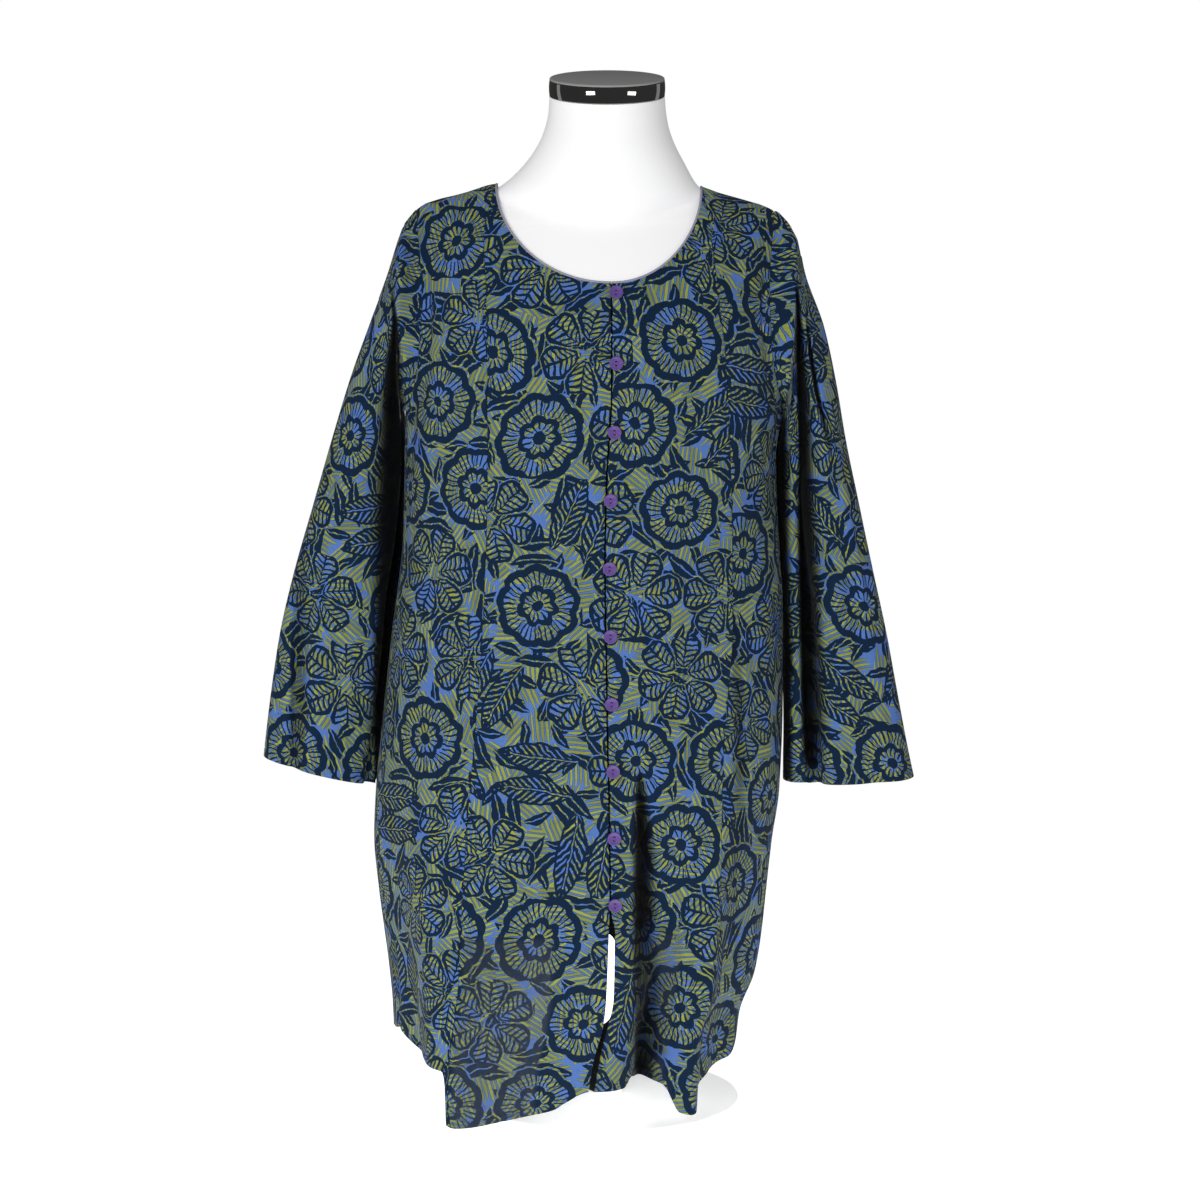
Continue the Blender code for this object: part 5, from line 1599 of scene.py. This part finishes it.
def dress_form(finish):
    """The form's torso and neck, with a rounded lower edge and an even run into the neck."""
    low, high = FORM_HEIGHTS
    heights = [low, low + 0.5, low + 2, low + 5, low + 10, *range(200, 800, 12),
               *range(800, 952, 2), high]
    turns = [2 * math.pi * k / FORM_SIDES for k in range(FORM_SIDES)]
    radii = np.array([[form_radius(turn, z) for turn in turns] for z in heights])
    radii[:4] *= np.array(FORM_EDGE)[:, None]
    soft = np.array([FORM_SOFT[0] <= z <= FORM_SOFT[1] for z in heights])
    for _ in range(30):
        eased = radii.copy()
        eased[1:-1] = (radii[:-2] + 2 * radii[1:-1] + radii[2:]) / 4
        eased = (np.roll(eased, 1, axis=1) + 2 * eased + np.roll(eased, -1, axis=1)) / 4
        radii = np.where(soft[:, None], np.minimum(eased, radii + 0.03), radii)
    points = []
    for z, line in zip(heights, radii):
        lean = smoothstep((z - LEAN_FROM) / (high - LEAN_FROM))
        for turn, radius in zip(turns, line):
            y = -radius * math.cos(turn)
            points.append((FORM_CENTRE + radius * math.sin(turn), y,
                           z + (y - CAP_CENTRE_Y) * math.tan(CAP_TILT) * lean))
    made = mesh_piece("dress_form_shell", points, tube_faces(len(heights), FORM_SIDES), finish)
    made.data.set_sharp_from_angle(angle=SHARP)
    return made


def rounded_profile(radius, low, high, edge, steps=5):
    """A plain disc's or drum's profile with rounded edges."""
    arc = [math.radians(90 * k / steps) for k in range(steps + 1)]
    upper = [(radius - edge + edge * math.sin(a), high - edge + edge * math.cos(a)) for a in arc]
    lower = [(radius - edge + edge * math.cos(a), low + edge - edge * math.sin(a)) for a in arc]
    return [(0, high), *upper, *lower, (0, low)]


def neck_fittings(band_finish, cap_finish):
    """The mirror band round the top of the neck and the thin cap on it, both leaning."""
    r, high, thick, steps = CAP_RADIUS, BAND_HEIGHT, CAP_THICKNESS, 9
    wall = [(r - 0.75 + 0.75 * math.sin(math.pi * (k + 0.5) / steps) ** 0.7,
             high - 0.35 - (high - 0.7) * k / (steps - 1)) for k in range(steps)]
    band = lathe("neck_band_metal", [(0, high), (r - 1.2, high), *wall, (r - 1.2, 0), (0, 0)],
                 TURNED_SIDES, band_finish)
    cap = lathe("neck_cap_disc", [(0, thick), (r - 2.4, thick), (r - 1.3, thick - 0.25),
                                  (r - 0.6, thick - 0.9), (r - 0.5, 0.5), (r - 0.9, 0.0),
                                  (0, 0.0)], TURNED_SIDES, cap_finish)
    for piece, rise in ((band, 0.0), (cap, high + PART_GAP)):
        spot = Vector((FORM_CENTRE, CAP_CENTRE_Y - rise * math.sin(CAP_TILT),
                       BAND_BOTTOM + PART_GAP + rise * math.cos(CAP_TILT)))
        piece.matrix_world = (Matrix.Translation(spot * METRE)
                              @ Matrix.Rotation(CAP_TILT, 4, "X"))
    return band, cap


# ==== light, floor and camera
def area_light(name, azimuth, elevation, distance, width, height, power, aim, mirrored):
    """A softbox at an azimuth from the camera's side of the object, facing a point on its axis."""
    light = bpy.data.lights.new(name, "AREA")
    light.shape, light.size, light.size_y, light.energy = "RECTANGLE", width, height, power
    made = bpy.data.objects.new(name, light)
    a, e = math.radians(azimuth), math.radians(elevation)
    away = Vector((math.sin(a) * math.cos(e), -math.cos(a) * math.cos(e), math.sin(e)))
    made.location = Vector((0, 0, aim)) + away * distance
    made.rotation_euler = (-away).to_track_quat("-Z", "Y").to_euler()
    made.visible_camera = False
    made.visible_glossy = mirrored
    bpy.context.scene.collection.objects.link(made)


def white_floor():
    """A white floor that fades out with distance."""
    finish, tree, shader = new_material("pale_floor")
    fill(tree, shader, Roughness=0.9, Specular_IOR_Level=0.1, Base_Color=(0.96, 0.96, 0.96, 1),
         Emission_Color=(1, 1, 1, 1), Emission_Strength=0.80)
    where = add_node(tree, "TexCoord")
    length = add_node(tree, "VectorMath", where.outputs["Object"])
    length.operation = "LENGTH"
    near, far = FLOOR_FADE
    fade = add_node(tree, "MapRange", length.outputs["Value"], From_Min=near, From_Max=far)
    fade.interpolation_type = "SMOOTHSTEP"
    mixed_surface(tree, fade.outputs[0], shader, add_node(tree, "BsdfTransparent"))
    ring = [(FLOOR_RADIUS * cosine, FLOOR_RADIUS * sine, -0.4) for sine, cosine in circle(96)]
    mesh_piece("floor", ring, [tuple(range(96))], finish, smooth=False)


def studio():
    """White surroundings, lights, floor and camera."""
    scene = bpy.context.scene
    scene.view_settings.view_transform = "Standard"
    world = bpy.data.worlds.new("studio")
    world.use_nodes = True
    tree = world.node_tree
    path = add_node(tree, "LightPath")
    # white to the eye, softer as light, and dark in mirrors
    strength = (Num(tree, path.outputs["Is Camera Ray"]) * (1.0 - AMBIENT) + AMBIENT
                - Num(tree, path.outputs["Is Glossy Ray"]) * (AMBIENT - MIRRORED))
    fill(tree, tree.nodes["Background"], (1.0, 1.0, 1.0, 1), strength)
    scene.world = world
    for name, values in LIGHTS.items():
        area_light(name, *values)
    glow = bpy.data.lights.new("light_under_form", "POINT")
    glow.energy, glow.shadow_soft_size = 0.25, 0.03
    lamp = bpy.data.objects.new("light_under_form", glow)
    lamp.location = (0.0, -0.075, 0.125)
    scene.collection.objects.link(lamp)
    white_floor()

    camera = bpy.data.objects.new("camera", bpy.data.cameras.new("camera"))
    camera.data.lens = LENS
    camera.data.clip_end = 50
    camera.location = Vector(CAMERA_AIM) + Vector(
        (0, -math.cos(CAMERA_TILT), math.sin(CAMERA_TILT))) * CAMERA_DISTANCE
    camera.rotation_euler = (math.radians(90) - CAMERA_TILT, 0, 0)
    scene.collection.objects.link(camera)
    scene.camera = camera


# ==== the whole object
def settle(piece, slot, *nodes):
    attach(piece, "root")
    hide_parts(*nodes)


def main():
    studio()
    cloth = cloth_material("printed_cotton_voile", print_group())
    plain = {name: plain_material(name, *values) for name, values in PLAIN.items()}

    panels = [(panel, False) for panel in body_panels()]
    panels += [(sleeve(side), True) for side in SIDE_WORD]
    pieces = {panel.name: sewn(panel, cloth, plain["sewing_thread"], closed)
              for panel, closed in panels}

    binding = neck_binding(plain["binding_cotton"])
    settle(binding, "binding", "neck_binding")

    first = button_mesh(plain["button_resin"], plain["button_thread"])
    buttons = []
    for number in range(BUTTON_COUNT):
        height = BUTTON_TOP - number * BUTTON_PITCH
        piece = bpy.data.objects.new("button", first.data) if number else first
        if number:
            bpy.context.scene.collection.objects.link(piece)
        piece.name = f"button_resin_{number + 1:02d}"
        angle = angle_at(OPENING_X[1](height) + BUTTON_OFFSET, height)
        piece.matrix_world = place_on_cloth(angle, height, BUTTON_SHANK)
        settle(piece, "button", f"button_{number + 1:02d}")
        buttons.append(piece)

    settle(dress_form(plain["form_white"]), "form_white", "dress_form")
    band, cap = neck_fittings(plain["band_chrome"], plain["cap_grey"])
    settle(band, "band_chrome", "neck_band")
    settle(cap, "cap_grey", "neck_cap")
    plate = rounded_profile(BASE_RADIUS, 0.0, BASE_THICKNESS, 2.0)
    shaft = rounded_profile(POLE_RADIUS, BASE_THICKNESS + PART_GAP,
                            FORM_HEIGHTS[0] - PART_GAP, 0.6)
    settle(lathe("base_plate_disc", plate, TURNED_SIDES, plain["stand_white"]),
           "stand_white", "base_plate")
    settle(lathe("pole_tube", shaft, 64, plain["stand_white"]), "stand_white", "pole")

    extra = {"back": [binding], "centre_front_left": buttons}
    for name, (width, length, area, held, carried_by) in SHEETS.items():
        piece, hem = pieces[name]
        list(extra.get(name, ()))
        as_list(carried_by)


main()
